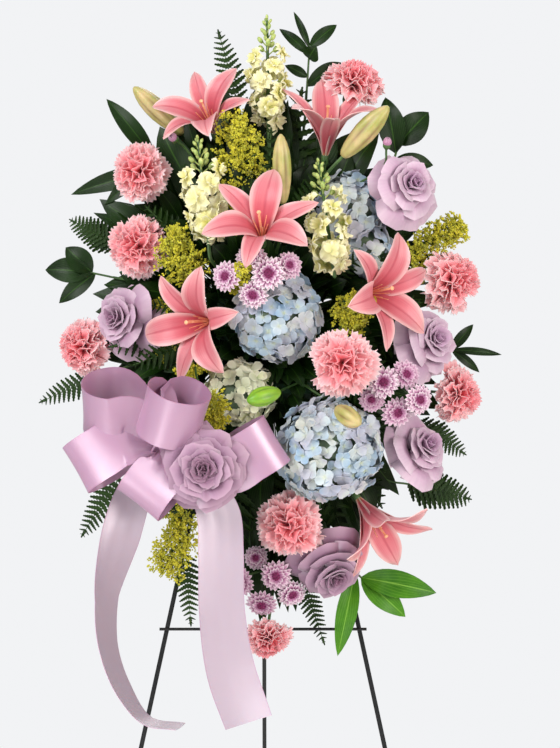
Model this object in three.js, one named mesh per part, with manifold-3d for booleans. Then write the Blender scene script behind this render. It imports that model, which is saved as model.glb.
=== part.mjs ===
// A standing spray: cut flowers and greens in a block of floral foam, hung on a folding wire easel.
// Millimetres, +Z up. The viewer stands on the -Y side, so -Y is the front.
import * as THREE from "three";
import { ConvexHull } from "three/addons/math/ConvexHull.js";
import { mergeVertices } from "three/addons/utils/BufferGeometryUtils.js";
import Module from "manifold-3d";

const wasm = await Module();
wasm.setup();

// Driving sizes
const LEAN = (9 * Math.PI) / 180; // the easel's front frame leans back from the viewer
const HANGER_HEIGHT = 1253; // the wire that carries the spray and the rear leg, above the floor
const SPRAY_HEIGHT = 1150; // the height that the flowers' places are measured from
const LEG_RADIUS = 3;
const WIRE_RADIUS = 2;
const TOUCH = 0.3; // gap left where two pieces rest on each other
const HALF_SPREAD = 16; // each front leg's distance from the middle at the hanger wire
const SPREAD_SLOPE = 0.2126; // and its growth for each millimetre down the leg
const REAR_FOOT_Y = 380;
const FOAM = { halfWidth: 59.2, halfHeight: 93.2, halfDepth: 38, down: 110, forward: 49.4 };
const TRAY = { wall: 2.5, depth: 30, back: 8.6 };
const RIBBON = { width: 62, thickness: 1 };
const STEM_IN_FOAM = 18;
const HOLE_CLEARANCE = 0.5;
const GOLDEN_ANGLE = Math.PI * (3 - Math.sqrt(5));

const GREEN = 0x2f4a24;
const colours = {
  wire: new THREE.MeshStandardMaterial({ color: 0x17191a, roughness: 0.45, metalness: 0.4 }),
  tray: new THREE.MeshStandardMaterial({ color: 0x1f3d27, roughness: 0.5 }),
  foam: new THREE.MeshStandardMaterial({ color: 0x2c5a3a, roughness: 1 }),
  pick: new THREE.MeshStandardMaterial({ color: 0x4d6b3a, roughness: 0.9 }),
  ribbon: new THREE.MeshStandardMaterial({ color: 0xd9a3cf, roughness: 0.35 }),
  lily: new THREE.MeshStandardMaterial({ color: 0xe9808a, roughness: 0.6 }),
  bud: new THREE.MeshStandardMaterial({ color: 0xc9c178, roughness: 0.6 }),
  rose: new THREE.MeshStandardMaterial({ color: 0xbf9cc4, roughness: 0.65 }),
  carnation: new THREE.MeshStandardMaterial({ color: 0xf08e96, roughness: 0.75 }),
  hydrangea: new THREE.MeshStandardMaterial({ color: 0xbcd0e2, roughness: 0.7 }),
  stock: new THREE.MeshStandardMaterial({ color: 0xf2e592, roughness: 0.7 }),
  mum: new THREE.MeshStandardMaterial({ color: 0xc98fbf, roughness: 0.7 }),
  goldenrod: new THREE.MeshStandardMaterial({ color: 0xb5a928, roughness: 0.8 }),
  leaf: new THREE.MeshStandardMaterial({ color: GREEN, roughness: 0.5 }),
  fern: new THREE.MeshStandardMaterial({ color: 0x27401f, roughness: 0.6 }),
};

// Small helpers

const vector = (x, y, z) => new THREE.Vector3(x, y, z);
const from = (list) => new THREE.Vector3(...list);
const mix = (a, b, share) => a + (b - a) * share;
const limit = THREE.MathUtils.clamp;

// A seeded source of numbers from 0 to 1, so that each build gives the same flowers.
function dice(seed) {
  let state = seed * 2654435761;
  return () => {
    state = (state + 0x6d2b79f5) | 0;
    let t = Math.imul(state ^ (state >>> 15), 1 | state);
    t = (t + Math.imul(t ^ (t >>> 7), 61 | t)) ^ t;
    return ((t ^ (t >>> 14)) >>> 0) / 4294967296;
  };
}

// A closed three.js geometry as a solid, with its faces pointing out.
function solid(geometry) {
  const bare = new THREE.BufferGeometry();
  bare.setAttribute("position", geometry.getAttribute("position"));
  bare.setIndex(geometry.index);
  const welded = mergeVertices(bare, 1e-4);
  const corners = [];
  for (let i = 0; i < welded.index.count; i += 3) {
    const [a, b, c] = [0, 1, 2].map((k) => welded.index.getX(i + k));
    if (a !== b && b !== c && c !== a) corners.push([a, b, c]);
  }
  const make = (faces) =>
    new wasm.Manifold(
      new wasm.Mesh({
        numProp: 3,
        vertProperties: Float32Array.from(welded.attributes.position.array),
        triVerts: Uint32Array.from(faces.flat()),
      }),
    );
  const made = make(corners);
  return made.volume() < 0 ? make(corners.map(([a, b, c]) => [a, c, b])) : made;
}

// Several solids joined in one body. Crumbs are dropped, but a petal or leaf that came loose is an error.
const CRUMB = 12; // cubic millimetres
const SLIVER = 0.2; // how far the joined surface may be simplified

function fuse(solids) {
  const bodies = wasm.Manifold.union(solids).decompose();
  const best = bodies.reduce((a, b) => (b.volume() > a.volume() ? b : a));
  const loose = bodies.filter((body) => body !== best && body.volume() > CRUMB);
  if (loose.length) throw new Error(`${loose.length} pieces came loose`);
  return best.asOriginal().simplify(SLIVER);
}

function moved(piece, matrix) {
  return piece.transform(matrix.elements);
}

// The frame of a bloom: its middle at a point, its face turned to a direction, its own up as near the
// world's up as that allows.
function facing(at, direction, roll = 0) {
  const out = from(direction).normalize();
  const world = Math.abs(out.z) > 0.95 ? vector(0, 1, 0) : vector(0, 0, 1);
  const up = world.addScaledVector(out, -world.dot(out)).normalize();
  const side = up.clone().cross(out);
  return new THREE.Matrix4()
    .makeBasis(side, up, out)
    .multiply(new THREE.Matrix4().makeRotationZ(roll))
    .setPosition(...at);
}

// A thin closed blade. place(along, across) gives its middle surface, for along 0 to 1 and across -1 to 1.
// Its two faces are split into the same triangles, stand half the thickness off it, and meet at the rim.
function blade(rows, columns, thickness, place) {
  const middle = [];
  for (let i = 0; i <= rows; i++) {
    middle.push([]);
    for (let j = 0; j <= columns; j++) middle[i].push(place(i / rows, (2 * j) / columns - 1));
  }
  const points = [];
  const ids = [[], []];
  for (let i = 0; i <= rows; i++) {
    for (let j = 0; j <= columns; j++) {
      const rim = i === 0 || i === rows || j === 0 || j === columns;
      const along = middle[Math.min(i + 1, rows)][j].clone().sub(middle[Math.max(i - 1, 0)][j]);
      const across = middle[i][Math.min(j + 1, columns)].clone().sub(middle[i][Math.max(j - 1, 0)]);
      const normal = across.cross(along).normalize();
      [thickness / 2, -thickness / 2].forEach((offset, face) => {
        if (rim && face) {
          ids[face].push(ids[0][i * (columns + 1) + j]);
          return;
        }
        ids[face].push(points.length);
        points.push(middle[i][j].clone().addScaledVector(normal, rim ? 0 : offset));
      });
    }
  }
  const corners = [];
  for (let i = 0; i < rows; i++) {
    for (let j = 0; j < columns; j++) {
      const quad = [i * (columns + 1) + j, i * (columns + 1) + j + 1];
      quad.push(quad[1] + columns + 1, quad[0] + columns + 1);
      const [a, b, c, d] = quad.map((k) => ids[0][k]);
      const [e, f, g, h] = quad.map((k) => ids[1][k]);
      corners.push(a, b, c, a, c, d, e, g, f, e, h, g);
    }
  }
  return solid(new THREE.BufferGeometry().setFromPoints(points).setIndex(corners));
}

// A closed piece round the local z axis, from a tip to a tip through rings of equally many points. A ring
// is [radius, height, how far every second point is drawn in, how far it is lowered, turn], all but the
// turn in units of the size.
function pleated(spokes, size, rings) {
  const points = [];
  rings.forEach(([radius, height, notch = 0, dip = 0, turn = 0], level) => {
    const tip = level === 0 || level === rings.length - 1;
    for (let k = 0; k < (tip ? 1 : spokes); k++) {
      const angle = (2 * Math.PI * k) / spokes + turn;
      const odd = k % 2;
      const out = size * (radius - odd * notch);
      points.push(vector(out * Math.cos(angle), out * Math.sin(angle), size * (height - odd * dip)));
    }
  });
  const last = points.length - 1;
  const at = (level, k) => {
    if (level === 0) return 0;
    return level === rings.length - 1 ? last : 1 + (level - 1) * spokes + (k % spokes);
  };
  const corners = [];
  for (let level = 0; level + 1 < rings.length; level++) {
    for (let k = 0; k < spokes; k++) {
      const [a, b, c, d] = [at(level, k), at(level, k + 1), at(level + 1, k + 1), at(level + 1, k)];
      if (a !== b) corners.push(a, b, c);
      if (c !== d) corners.push(a, c, d);
    }
  }
  return solid(new THREE.BufferGeometry().setFromPoints(points).setIndex(corners));
}

// A rod of a few flat sides along a curve.
function rod(curve, radius, sides, steps) {
  const ring = Array.from({ length: sides }, (_, k) => (2 * Math.PI * (k + 0.5)) / sides);
  const section = new THREE.Shape(
    ring.map((turn) => new THREE.Vector2(radius * Math.cos(turn), radius * Math.sin(turn))),
  );
  return solid(new THREE.ExtrudeGeometry(section, { steps, extrudePath: curve, bevelEnabled: false }));
}

function straight(start, end, radius, sides = 8) {
  return rod(new THREE.LineCurve3(start, end), radius, sides, 1);
}

function curveThrough(points) {
  return new THREE.CatmullRomCurve3(points, false, "centripetal");
}

// A round piece standing on the local z axis. Its profile of [radius, height] starts and ends on the axis.
function turned(profile, sides) {
  const outline = profile.map(([radius, height]) => new THREE.Vector2(radius, height));
  return solid(new THREE.LatheGeometry(outline, sides).rotateX(Math.PI / 2));
}

function boxBetween(low, high) {
  const size = high.clone().sub(low);
  const box = new THREE.BoxGeometry(size.x, size.y, size.z);
  return solid(box.translate(...low.clone().add(high).multiplyScalar(0.5)));
}

// Where a place on the easel's leaning front frame is: across it, down from the hanger wire, and forward.
function onFrame(across, down, forward) {
  return vector(
    across,
    -Math.sin(LEAN) * down - Math.cos(LEAN) * forward,
    HANGER_HEIGHT - Math.cos(LEAN) * down + Math.sin(LEAN) * forward,
  );
}

// The same place, measured as the flowers are.
function onSpray(across, down, forward) {
  return onFrame(across, down, forward).sub(vector(0, 0, SPRAY_HEIGHT));
}

// Easel

const WIRE_FORWARD = LEG_RADIUS + WIRE_RADIUS + TOUCH;
const TOP_WIRE_DOWN = -36;
const LEG_TOP_DOWN = -44;
const CROSS_WIRE_DOWN = 486;
const WIRE_OVERHANG = 6;
const TOP_WIRE_HALF = 14;
const HANGER_WIRE_HALF = 50;
const EYE_CLEARANCE = 0.45;
const EYE_RADIUS = WIRE_RADIUS + EYE_CLEARANCE + LEG_RADIUS;
const PAST_FLOOR = 20; // how far the legs are made to go through the floor before they are cut level
const TAIL_PAST_WIRE = 10;
const FAR = 2000; // further than the easel reaches

function frontLegX(down) {
  return HALF_SPREAD + SPREAD_SLOPE * down;
}

function aboveFloor(piece) {
  return piece.intersect(boxBetween(vector(-FAR, -FAR, 0), vector(FAR, FAR, FAR)));
}

function frontLeg(side) {
  const foot = HANGER_HEIGHT / Math.cos(LEAN) + PAST_FLOOR;
  const top = onFrame(side * frontLegX(LEG_TOP_DOWN), LEG_TOP_DOWN, 0);
  return aboveFloor(straight(top, onFrame(side * frontLegX(foot), foot, 0), LEG_RADIUS));
}

function frameWire(down, halfLength) {
  const end = (side) => onFrame(side * halfLength, down, WIRE_FORWARD);
  return straight(end(-1), end(1), WIRE_RADIUS, 6);
}

// The rear leg is one wire: a straight leg, an eye round the hanger wire, and a tail that rests behind the
// top wire and so stops the leg from spreading further.
function rearLeg() {
  const pivot = onFrame(0, 0, WIRE_FORWARD);
  const ring = new THREE.TorusGeometry(EYE_RADIUS, LEG_RADIUS, 6, 10).rotateY(Math.PI / 2);
  const eye = solid(ring.translate(...pivot));
  const foot = vector(0, REAR_FOOT_Y, 0);
  const down = foot.clone().sub(pivot).normalize();
  const leg = straight(
    pivot.clone().addScaledVector(down, EYE_RADIUS),
    foot.clone().addScaledVector(down, PAST_FLOOR),
    LEG_RADIUS,
  );
  const stop = onFrame(0, TOP_WIRE_DOWN, WIRE_FORWARD - WIRE_RADIUS - LEG_RADIUS - TOUCH);
  const up = stop.clone().sub(pivot).normalize();
  const tail = straight(
    pivot.clone().addScaledVector(up, EYE_RADIUS),
    stop.clone().addScaledVector(up, TAIL_PAST_WIRE),
    LEG_RADIUS,
  );
  return aboveFloor(fuse([eye, leg, tail]));
}

// Foam tray with two hooks over the hanger wire, and its foam

const HOOK = { halfSpacing: 36, halfWidth: 6, wall: 2.5, drop: 6 };

function frameBox(across, down, forward) {
  const turn = new THREE.Matrix4().makeRotationX(-LEAN);
  const low = vector(across[0], -forward[1], -down[1]);
  const high = vector(across[1], -forward[0], -down[0]);
  const shift = new THREE.Matrix4().makeTranslation(0, 0, HANGER_HEIGHT - SPRAY_HEIGHT);
  return moved(boxBetween(low, high), shift.multiply(turn));
}

function tray() {
  const { wall, depth, back } = TRAY;
  const halfWidth = FOAM.halfWidth + TOUCH + wall;
  const top = FOAM.down - FOAM.halfHeight - TOUCH - wall;
  const bottom = FOAM.down + FOAM.halfHeight + TOUCH + wall;
  const outer = frameBox([-halfWidth, halfWidth], [top, bottom], [back, back + depth]);
  const inner = frameBox(
    [wall - halfWidth, halfWidth - wall],
    [top + wall, bottom - wall],
    [back + wall, back + 2 * depth],
  );
  const over = WIRE_RADIUS + TOUCH;
  const hooks = [-1, 1].flatMap((side) => {
    const middle = side * HOOK.halfSpacing;
    const across = [middle - HOOK.halfWidth, middle + HOOK.halfWidth];
    const behind = WIRE_FORWARD - over;
    return [
      frameBox(across, [-over - HOOK.wall, top + 2 * wall], [WIRE_FORWARD + over, back + wall]),
      frameBox(across, [-over - HOOK.wall, -over], [behind - HOOK.wall, back + wall]),
      frameBox(across, [-over - HOOK.wall, HOOK.drop], [behind - HOOK.wall, behind]),
    ];
  });
  return fuse([outer.subtract(inner), ...hooks]);
}

function foamBlock() {
  const { halfWidth, halfHeight, halfDepth, down, forward } = FOAM;
  return frameBox(
    [-halfWidth, halfWidth],
    [down - halfHeight, down + halfHeight],
    [forward - halfDepth, forward + halfDepth],
  );
}

// Stems. Each goes into the foam's face that looks towards its bloom, and turns into the bloom's direction.

const FOAM_CENTRE = onSpray(0, FOAM.down, FOAM.forward);
const FOAM_FRONT = vector(0, -Math.cos(LEAN), Math.sin(LEAN));
const FOAM_UP = vector(0, Math.sin(LEAN), Math.cos(LEAN));
const FACE_MARGIN = 6;
const BARELY = 1e-6; // keeps a quotient finite
const holes = [];

// Where a stem enters the foam, and its direction there. It aims from a point `focus` forward of the foam's
// middle at its goal, and enters no lower than `lowest` on a side face.

function stemStart(goal, focus, lowest, nudge) {
  const offset = goal.clone().sub(FOAM_CENTRE);
  const reach = { x: offset.x, y: offset.dot(FOAM_UP), z: offset.dot(FOAM_FRONT) };
  const toGoal = { x: reach.x, y: reach.y, z: Math.max(reach.z - focus, 1) };
  const shares = {
    x: FOAM.halfWidth / Math.max(Math.abs(toGoal.x), BARELY),
    y: FOAM.halfHeight / Math.max(Math.abs(toGoal.y), BARELY),
    z: (FOAM.halfDepth - focus) / toGoal.z,
  };
  const share = Math.min(shares.x, shares.y, shares.z);
  const local = vector(toGoal.x * share, toGoal.y * share, focus + toGoal.z * share);
  const normal = vector(0, 0, 0);
  if (share === shares.x) normal.x = Math.sign(local.x);
  else if (share === shares.y) normal.y = Math.sign(local.y);
  else normal.z = 1;
  local.add(from(nudge));
  if (!normal.x) local.x = limit(local.x, FACE_MARGIN - FOAM.halfWidth, FOAM.halfWidth - FACE_MARGIN);
  if (!normal.y) local.y = limit(local.y, FACE_MARGIN - FOAM.halfHeight, FOAM.halfHeight - FACE_MARGIN);
  if (!normal.z) local.z = limit(local.z, lowest, FOAM.halfDepth - FACE_MARGIN);
  const world = (a) =>
    vector(a.x, 0, 0).addScaledVector(FOAM_UP, a.y).addScaledVector(FOAM_FRONT, a.z);
  const entry = FOAM_CENTRE.clone().add(world(local));
  const heading = goal.clone().sub(entry).normalize().add(world(normal)).normalize();
  return { entry, heading };
}

const BLOOM_FOCUS = -25;
const BLOOM_LOWEST = 8;
const GREEN_FOCUS = -45;
const GREEN_LOWEST = -3;

// A stem's curve, with its hole in the foam noted. It ends at a point, going in a direction, and may be
// bent round a neighbour: moved by `nudge` where it enters the foam, or led through the point `via`.
function stemCurve(end, direction, { radius, green = false, nudge = [0, 0, 0], via }) {
  const focus = green ? GREEN_FOCUS : BLOOM_FOCUS;
  const lowest = green ? GREEN_LOWEST : BLOOM_LOWEST;
  const { entry, heading } = stemStart(end, focus, lowest, nudge);
  const length = end.distanceTo(entry);
  const deep = entry.clone().addScaledVector(heading, -STEM_IN_FOAM);
  const points = [
    deep,
    entry.clone().addScaledVector(heading, 4),
    via ? from(via) : entry.clone().addScaledVector(heading, 0.3 * length),
    end.clone().addScaledVector(direction, -0.25 * length),
    end,
  ];
  const bottom = deep.clone().addScaledVector(heading, -TOUCH);
  holes.push({ curve: curveThrough([bottom, ...points.slice(1)]), radius: radius + HOLE_CLEARANCE });
  return curveThrough(points);
}

const STEM_SIDES = 4;
const STEM_STEPS = 3;
const STEM_RADIUS = {
  lily: 2.4,
  bud: 2.2,
  rose: 2.4,
  carnation: 2,
  hydrangea: 3,
  stock: 2.6,
  mum: 2,
  goldenrod: 1.8,
  fern: 1.7,
  leaf: 1.8,
  pick: 2,
};
const TWIG_RADIUS = { bud: 1.6, mum: 1.4, goldenrod: 1.5, fern: 1.4, leaf: 1.5 };

function stem(end, direction, how) {
  return rod(stemCurve(end, direction, how), how.radius, STEM_SIDES, STEM_STEPS);
}

// A stem that forks, with a twig to each end. An end is a point and the direction that the twig has there.
// The twigs leave the stem one below the other.
const TWIG_STEP = 1.5;

function forkedStem(fork, ends, how, twigRadius) {
  const middle = ends.reduce((sum, { at }) => sum.add(at), vector(0, 0, 0)).divideScalar(ends.length);
  const heading = middle.sub(fork).normalize();
  const parts = [stem(fork.clone().addScaledVector(heading, 2), heading, how)];
  ends.forEach(({ at, out }, k) => {
    const start = fork.clone().addScaledVector(heading, -2 - TWIG_STEP * k);
    const bend = at.clone().addScaledVector(out, -0.35 * at.distanceTo(fork));
    parts.push(rod(curveThrough([start, bend, at]), twigRadius, 3, 2));
  });
  return parts;
}

// One plain stem, or a forked one where a fork is given.
function stemOrFork(fork, ends, how, twigRadius) {
  if (fork) return forkedStem(from(fork), ends, how, twigRadius);
  return [stem(ends[0].at, ends[0].out, how)];
}

// A bloom on its stem: the head is made round its own middle and stands `below` under it.
function bloom({ at, face, roll = 0, nudge, via }, head, below, radius) {
  const out = from(face).normalize();
  const foot = from(at).addScaledVector(out, -below);
  return fuse([moved(head, facing(at, face, roll)), stem(foot, out, { radius, nudge, via })]);
}

// Lilies

// A lily's six petals leave its throat one by one, three of them broader and higher, and curl back at their
// tips.
function lilyHead({ reach, deep, seed }) {
  const roll = dice(seed);
  const parts = [];
  for (let k = 0; k < 6; k++) {
    const inner = k % 2 === 1;
    const turn = (k * Math.PI) / 3;
    const width = (inner ? 0.5 : 0.38) * reach;
    const curl = deep * mix(0.25, 0.5, roll());
    parts.push(
      blade(inner ? 4 : 3, 2, 1.6, (along, across) => {
        const half = (width / 2) * Math.sin(Math.PI * along ** 1.25) ** 0.9;
        const out = 1.5 + (reach - 1.5) * along ** 1.3;
        const rise = -deep + (deep + 8) * (1 - (1 - along) ** 1.9) - curl * along ** 5;
        const height = rise + (inner ? 3 : 0) + 0.3 * half * across * across;
        return vector(out, across * half, height).applyAxisAngle(vector(0, 0, 1), turn);
      }),
    );
  }
  parts.push(turned([[0, -deep - 8], [4, -deep - 8], [5.5, 10 - deep], [0, 13 - deep]], 6));
  for (let k = 0; k < 6; k++) {
    const turn = (k + 0.5) * (Math.PI / 3);
    const tip = vector(11 * Math.cos(turn), 11 * Math.sin(turn), 3);
    parts.push(straight(vector(0, 0, 6 - deep), tip, 1.1, 3));
  }
  parts.push(straight(vector(0, 0, 6 - deep), vector(0, 3, 14), 1.8, 3));
  return fuse(parts);
}

const BUD_FOOT = 0.44; // where a bud stands on its stem, below its middle, against its length

function budShape(length, radius) {
  const profile = [[0, -0.5], [0.55, -0.42], [0.95, -0.15], [0.9, 0.12], [0.5, 0.4], [0, 0.5]];
  return turned(profile.map(([r, h]) => [r * radius, h * length]), 6);
}

const LILIES = [
  { name: "lily_upper_left", at: [-70, -140, 258], face: [-0.3, -0.7, 0.6], reach: 64, deep: 40 },
  { name: "lily_top", at: [80, -130, 250], face: [0.08, -0.45, 0.9], reach: 64, deep: 52, roll: 0.5 },
  { name: "lily_centre", at: [0, -228, 119], face: [0, -0.95, 0.3], reach: 70, deep: 38 },
  { name: "lily_right", at: [140, -205, 38], face: [0.5, -0.85, 0.05], reach: 70, deep: 42 },
  { name: "lily_left", at: [-78, -205, 0], face: [-0.45, -0.88, -0.1], reach: 70, deep: 42 },
  { name: "lily_low", at: [140, -150, -246], face: [0.5, -0.45, -0.72], reach: 66, deep: 52 },
];
const BUDS = [
  { name: "lily_bud_upper_left", at: [-129, -95, 265], face: [-0.72, -0.15, 0.67], length: 84, radius: 13 },
  {
    name: "lily_bud_top",
    at: [124, -166, 232],
    face: [0.66, -0.3, 0.7],
    length: 84,
    radius: 14,
    via: [50, -122, 140],
  },
  { name: "lily_bud_centre", at: [23, -190, 185], face: [-0.03, -0.2, 0.97], length: 84, radius: 12 },
];
const LOW_BUDS = {
  name: "lily_buds_low",
  fork: [44, -156, -70],
  buds: [
    { at: [2, -268, -86], face: [0.4, -0.85, 0.25], length: 46, radius: 11 },
    { at: [100, -276, -109], face: [0.6, -0.7, -0.4], length: 44, radius: 12 },
  ],
};

function lowBuds({ fork, buds }) {
  const heads = buds.map((bud) => moved(budShape(bud.length, bud.radius), facing(bud.at, bud.face)));
  const ends = buds.map(({ at, face, length }) => {
    const out = from(face).normalize();
    return { at: from(at).addScaledVector(out, -BUD_FOOT * length), out };
  });
  const stems = forkedStem(from(fork), ends, { radius: STEM_RADIUS.bud }, TWIG_RADIUS.bud);
  return fuse([...heads, ...stems]);
}

// Roses: two tight lobed cups in the middle, then two rings of separate petals, each tucked under the next.

const ROSE_HEART = [
  [0, -0.78],
  [0.17, -0.56],
  [0.5, 0.34, 0.05, 0.06],
  [0.3, 0.12],
  [0.25, 0.48, 0.04, 0.05, 0.3],
  [0, 0.26],
];
const ROSE_RINGS = [
  { count: 3, columns: 2, rim: 0.72, base: 0.06, top: 0.26, span: 2.3, flare: 0.06, turn: 0.4 },
  { count: 5, columns: 3, rim: 0.92, base: 0.08, top: 0, span: 1.5, flare: 0.12, turn: 0 },
];

function roseHead({ size }) {
  const parts = [pleated(10, size, ROSE_HEART)];
  for (const ring of ROSE_RINGS) {
    for (let k = 0; k < ring.count; k++) {
      const turn = (2 * Math.PI * k) / ring.count + ring.turn;
      parts.push(
        blade(2, ring.columns, 1.8, (along, across) => {
          const swell = Math.sin((along * Math.PI) / 2) ** 0.8;
          const out = mix(ring.base, ring.rim, swell) + ring.flare * along ** 4 + 0.06 * across;
          const rise = mix(-0.66, ring.top, along ** 1.4) - 0.16 * across * across * along;
          const angle = turn + (across * ring.span * Math.min(1, 0.3 + along)) / 2;
          return vector(out * Math.cos(angle), out * Math.sin(angle), rise).multiplyScalar(size);
        }),
      );
    }
  }
  return fuse(parts);
}

const ROSES = [
  { name: "rose_upper_right", at: [171, -160, 167], face: [0.35, -0.92, 0.15], size: 42 },
  { name: "rose_left", at: [-173, -140, 8], face: [-0.5, -0.86, -0.05], size: 38 },
  { name: "rose_right", at: [204, -150, -19], face: [0.55, -0.83, 0], size: 39 },
  { name: "rose_low_right", at: [193, -150, -149], face: [0.6, -0.8, 0.05], size: 38 },
  {
    name: "rose_bottom",
    at: [86, -150, -305],
    face: [0.1, -0.78, -0.6],
    size: 38,
    nudge: [6, 0, 0],
    via: [60, -112, -190],
  },
  {
    name: "rose_bow",
    at: [-68, -275, -171],
    face: [0.02, -1, 0.05],
    size: 50,
    nudge: [-10, -30, 0],
    via: [-62, -140, -124],
  },
];

// Carnations: three frilled tiers of petals, one over the other, on a long calyx.

const CARNATION_RINGS = [
  [0, -0.95],
  [0.24, -0.42],
  [1, -0.1, 0.22, 0.12],
  [0.38, -0.08],
  [0.82, 0.24, 0.24, 0.16, 0.2],
  [0.24, 0.12],
  [0.5, 0.5, 0.2, 0.16, 0.06],
  [0, 0.28],
];

function carnationHead({ size }) {
  return pleated(14, size, CARNATION_RINGS);
}

const CARNATIONS = [
  { name: "carnation_top", at: [116, -85, 308], face: [0.35, -0.45, 0.82], size: 40 },
  { name: "carnation_upper_left", at: [-153, -125, 188], face: [-0.25, -0.95, 0.15], size: 39 },
  { name: "carnation_mid_left", at: [-154, -145, 95], face: [-0.3, -0.95, 0], size: 40 },
  { name: "carnation_low_left", at: [-227, -105, -28], face: [-0.6, -0.8, -0.1], size: 38 },
  { name: "carnation_centre", at: [95, -252, -46], face: [0.08, -1, 0.03], size: 41 },
  { name: "carnation_right", at: [239, -110, 55], face: [0.68, -0.73, 0.05], size: 41 },
  { name: "carnation_low_right", at: [245, -105, -87], face: [0.7, -0.7, -0.12], size: 36 },
  { name: "carnation_low", at: [33, -185, -244], face: [0, -0.97, -0.2], size: 42, nudge: [9, 0, 0] },
  {
    name: "carnation_bottom",
    at: [7, -114, -388],
    face: [0.05, -0.62, -0.78],
    size: 32,
    via: [6, -88, -250],
  },
];

// A head covered in four-petalled florets: a rounded core whose surface is raised at the petals' tips and
// sunk in the notches between them. The core is a ball stretched to half its width and half its height. The
// florets' points are joined up on the ball, by their convex hull, and then raised.

const PETAL_NOTCH = 0.72; // how far out a notch is, against a petal's tip

function floretHead({ halfWidth, halfHeight, florets, bumps = [] }, roll) {
  const stretch = vector(halfWidth, halfWidth, halfHeight);
  const directions = [];
  const raise = new Map();
  const note = (direction, amount) => {
    directions.push(direction);
    raise.set(direction, amount);
  };
  for (const { out, radius, tip, notch, heart } of florets) {
    const normal = out.clone().divide(stretch).normalize();
    const centre = out.clone().multiply(stretch);
    const frame = facing([0, 0, 0], normal.toArray(), roll() * Math.PI);
    note(out.clone(), heart);
    for (let j = 0; j < 8; j++) {
      const petal = j % 2 === 0;
      const away = radius * (petal ? 1 : PETAL_NOTCH);
      const turn = (j * Math.PI) / 4;
      const point = vector(away * Math.cos(turn), away * Math.sin(turn), 0).applyMatrix4(frame);
      note(point.add(centre).divide(stretch).normalize(), petal ? tip : notch);
    }
  }
  for (const { out, amount } of bumps) note(out.clone(), amount);
  const corners = [];
  for (const face of new ConvexHull().setFromPoints(directions).faces) {
    const start = face.edge;
    for (let edge = start.next; edge.next !== start; edge = edge.next) {
      corners.push(start.head().point, edge.head().point, edge.next.head().point);
    }
  }
  const points = corners.map((direction) => {
    const normal = direction.clone().divide(stretch).normalize();
    return direction.clone().multiply(stretch).addScaledVector(normal, raise.get(direction));
  });
  const geometry = new THREE.BufferGeometry().setFromPoints(points);
  return solid(geometry.setIndex(points.map((point, k) => k)));
}

// The k-th of directions that wind evenly round a ball, at its own height on the ball.
function winding(k, height) {
  const ring = Math.sqrt(1 - height * height);
  return vector(ring * Math.cos(k * GOLDEN_ANGLE), ring * Math.sin(k * GOLDEN_ANGLE), height);
}

// Hydrangea heads are low domes.
const DOME_DEPTH = 0.74;
const DOME_LOWEST = -0.6;
const HYDRANGEA_FLORETS = 23;
const FIRST_HYDRANGEA_SEED = 21;

function hydrangeaHead({ size, seed }) {
  const florets = Array.from({ length: HYDRANGEA_FLORETS }, (_, k) => ({
    out: winding(k, mix(1, DOME_LOWEST, (k + 0.5) / HYDRANGEA_FLORETS)),
    radius: 0.3 * size,
    tip: 0.12 * size,
    notch: -0.14 * size,
    heart: 0,
  }));
  const bumps = [{ out: vector(0, 0, -1), amount: 0 }];
  const core = { halfWidth: 0.9 * size, halfHeight: 0.9 * DOME_DEPTH * size, florets, bumps };
  return floretHead(core, dice(seed));
}

const HYDRANGEAS = [
  { name: "hydrangea_top", at: [102, -120, 148], face: [0.3, -0.9, 0.3], size: 43 },
  { name: "hydrangea_centre", at: [17, -188, 8], face: [0.05, -0.98, 0.1], size: 53 },
  { name: "hydrangea_cream", at: [-27, -160, -83], face: [-0.2, -0.95, -0.2], size: 41 },
  { name: "hydrangea_low", at: [80, -187, -151], face: [0.15, -0.95, -0.2], size: 63 },
];

// Stocks: a spike of florets, with closed buds at its tip.

const STOCK_FLORETS = 15;
const STOCK_BUDS = 12;
const STOCK_BUD_ZONE = 0.52; // how high up the ball the buds begin

function stockSpike({ low, high, width, seed, nudge }) {
  const roll = dice(seed);
  const [start, end] = [from(low), from(high)];
  const axis = end.clone().sub(start).normalize();
  const florets = [];
  for (let k = 0; k < STOCK_FLORETS; k++) {
    const out = winding(k, mix(-0.86, STOCK_BUD_ZONE - 0.12, k / (STOCK_FLORETS - 1)));
    florets.push({
      out,
      radius: 0.36 * width,
      tip: 0.2 * width,
      notch: -0.09 * width,
      heart: 0.04 * width,
    });
  }
  const bumps = [{ out: vector(0, 0, -1), amount: 0 }, { out: vector(0, 0, 1), amount: 2 }];
  for (let k = 0; k < STOCK_BUDS; k++) {
    const out = winding(k, mix(STOCK_BUD_ZONE, 0.96, k / STOCK_BUDS));
    bumps.push({ out, amount: k % 2 ? 0.1 * width : -0.07 * width });
  }
  const length = start.distanceTo(end);
  const core = { halfWidth: 0.31 * width, halfHeight: length / 2, florets, bumps };
  const middle = start.clone().lerp(end, 0.5);
  const head = moved(floretHead(core, roll), facing(middle.toArray(), axis.toArray()));
  const foot = start.clone().addScaledVector(axis, 6);
  return fuse([head, stem(foot, axis, { radius: STEM_RADIUS.stock, nudge })]);
}

const STOCKS = [
  { name: "stock_top", low: [7, -118, 236], high: [5, -92, 388], width: 46, seed: 3 },
  { name: "stock_left", low: [-64, -172, 96], high: [-79, -164, 232], width: 54, seed: 4 },
  { name: "stock_right", low: [84, -206, 66], high: [66, -168, 204], width: 52, seed: 5 },
];

// Button chrysanthemums: several small starry blooms on one branched stem.

function mumBloom(size) {
  return pleated(12, size, [
    [0, -0.36],
    [1, 0.12, 0.26, 0.04],
    [0.32, 0.02],
    [0, 0.3],
  ]);
}

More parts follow.
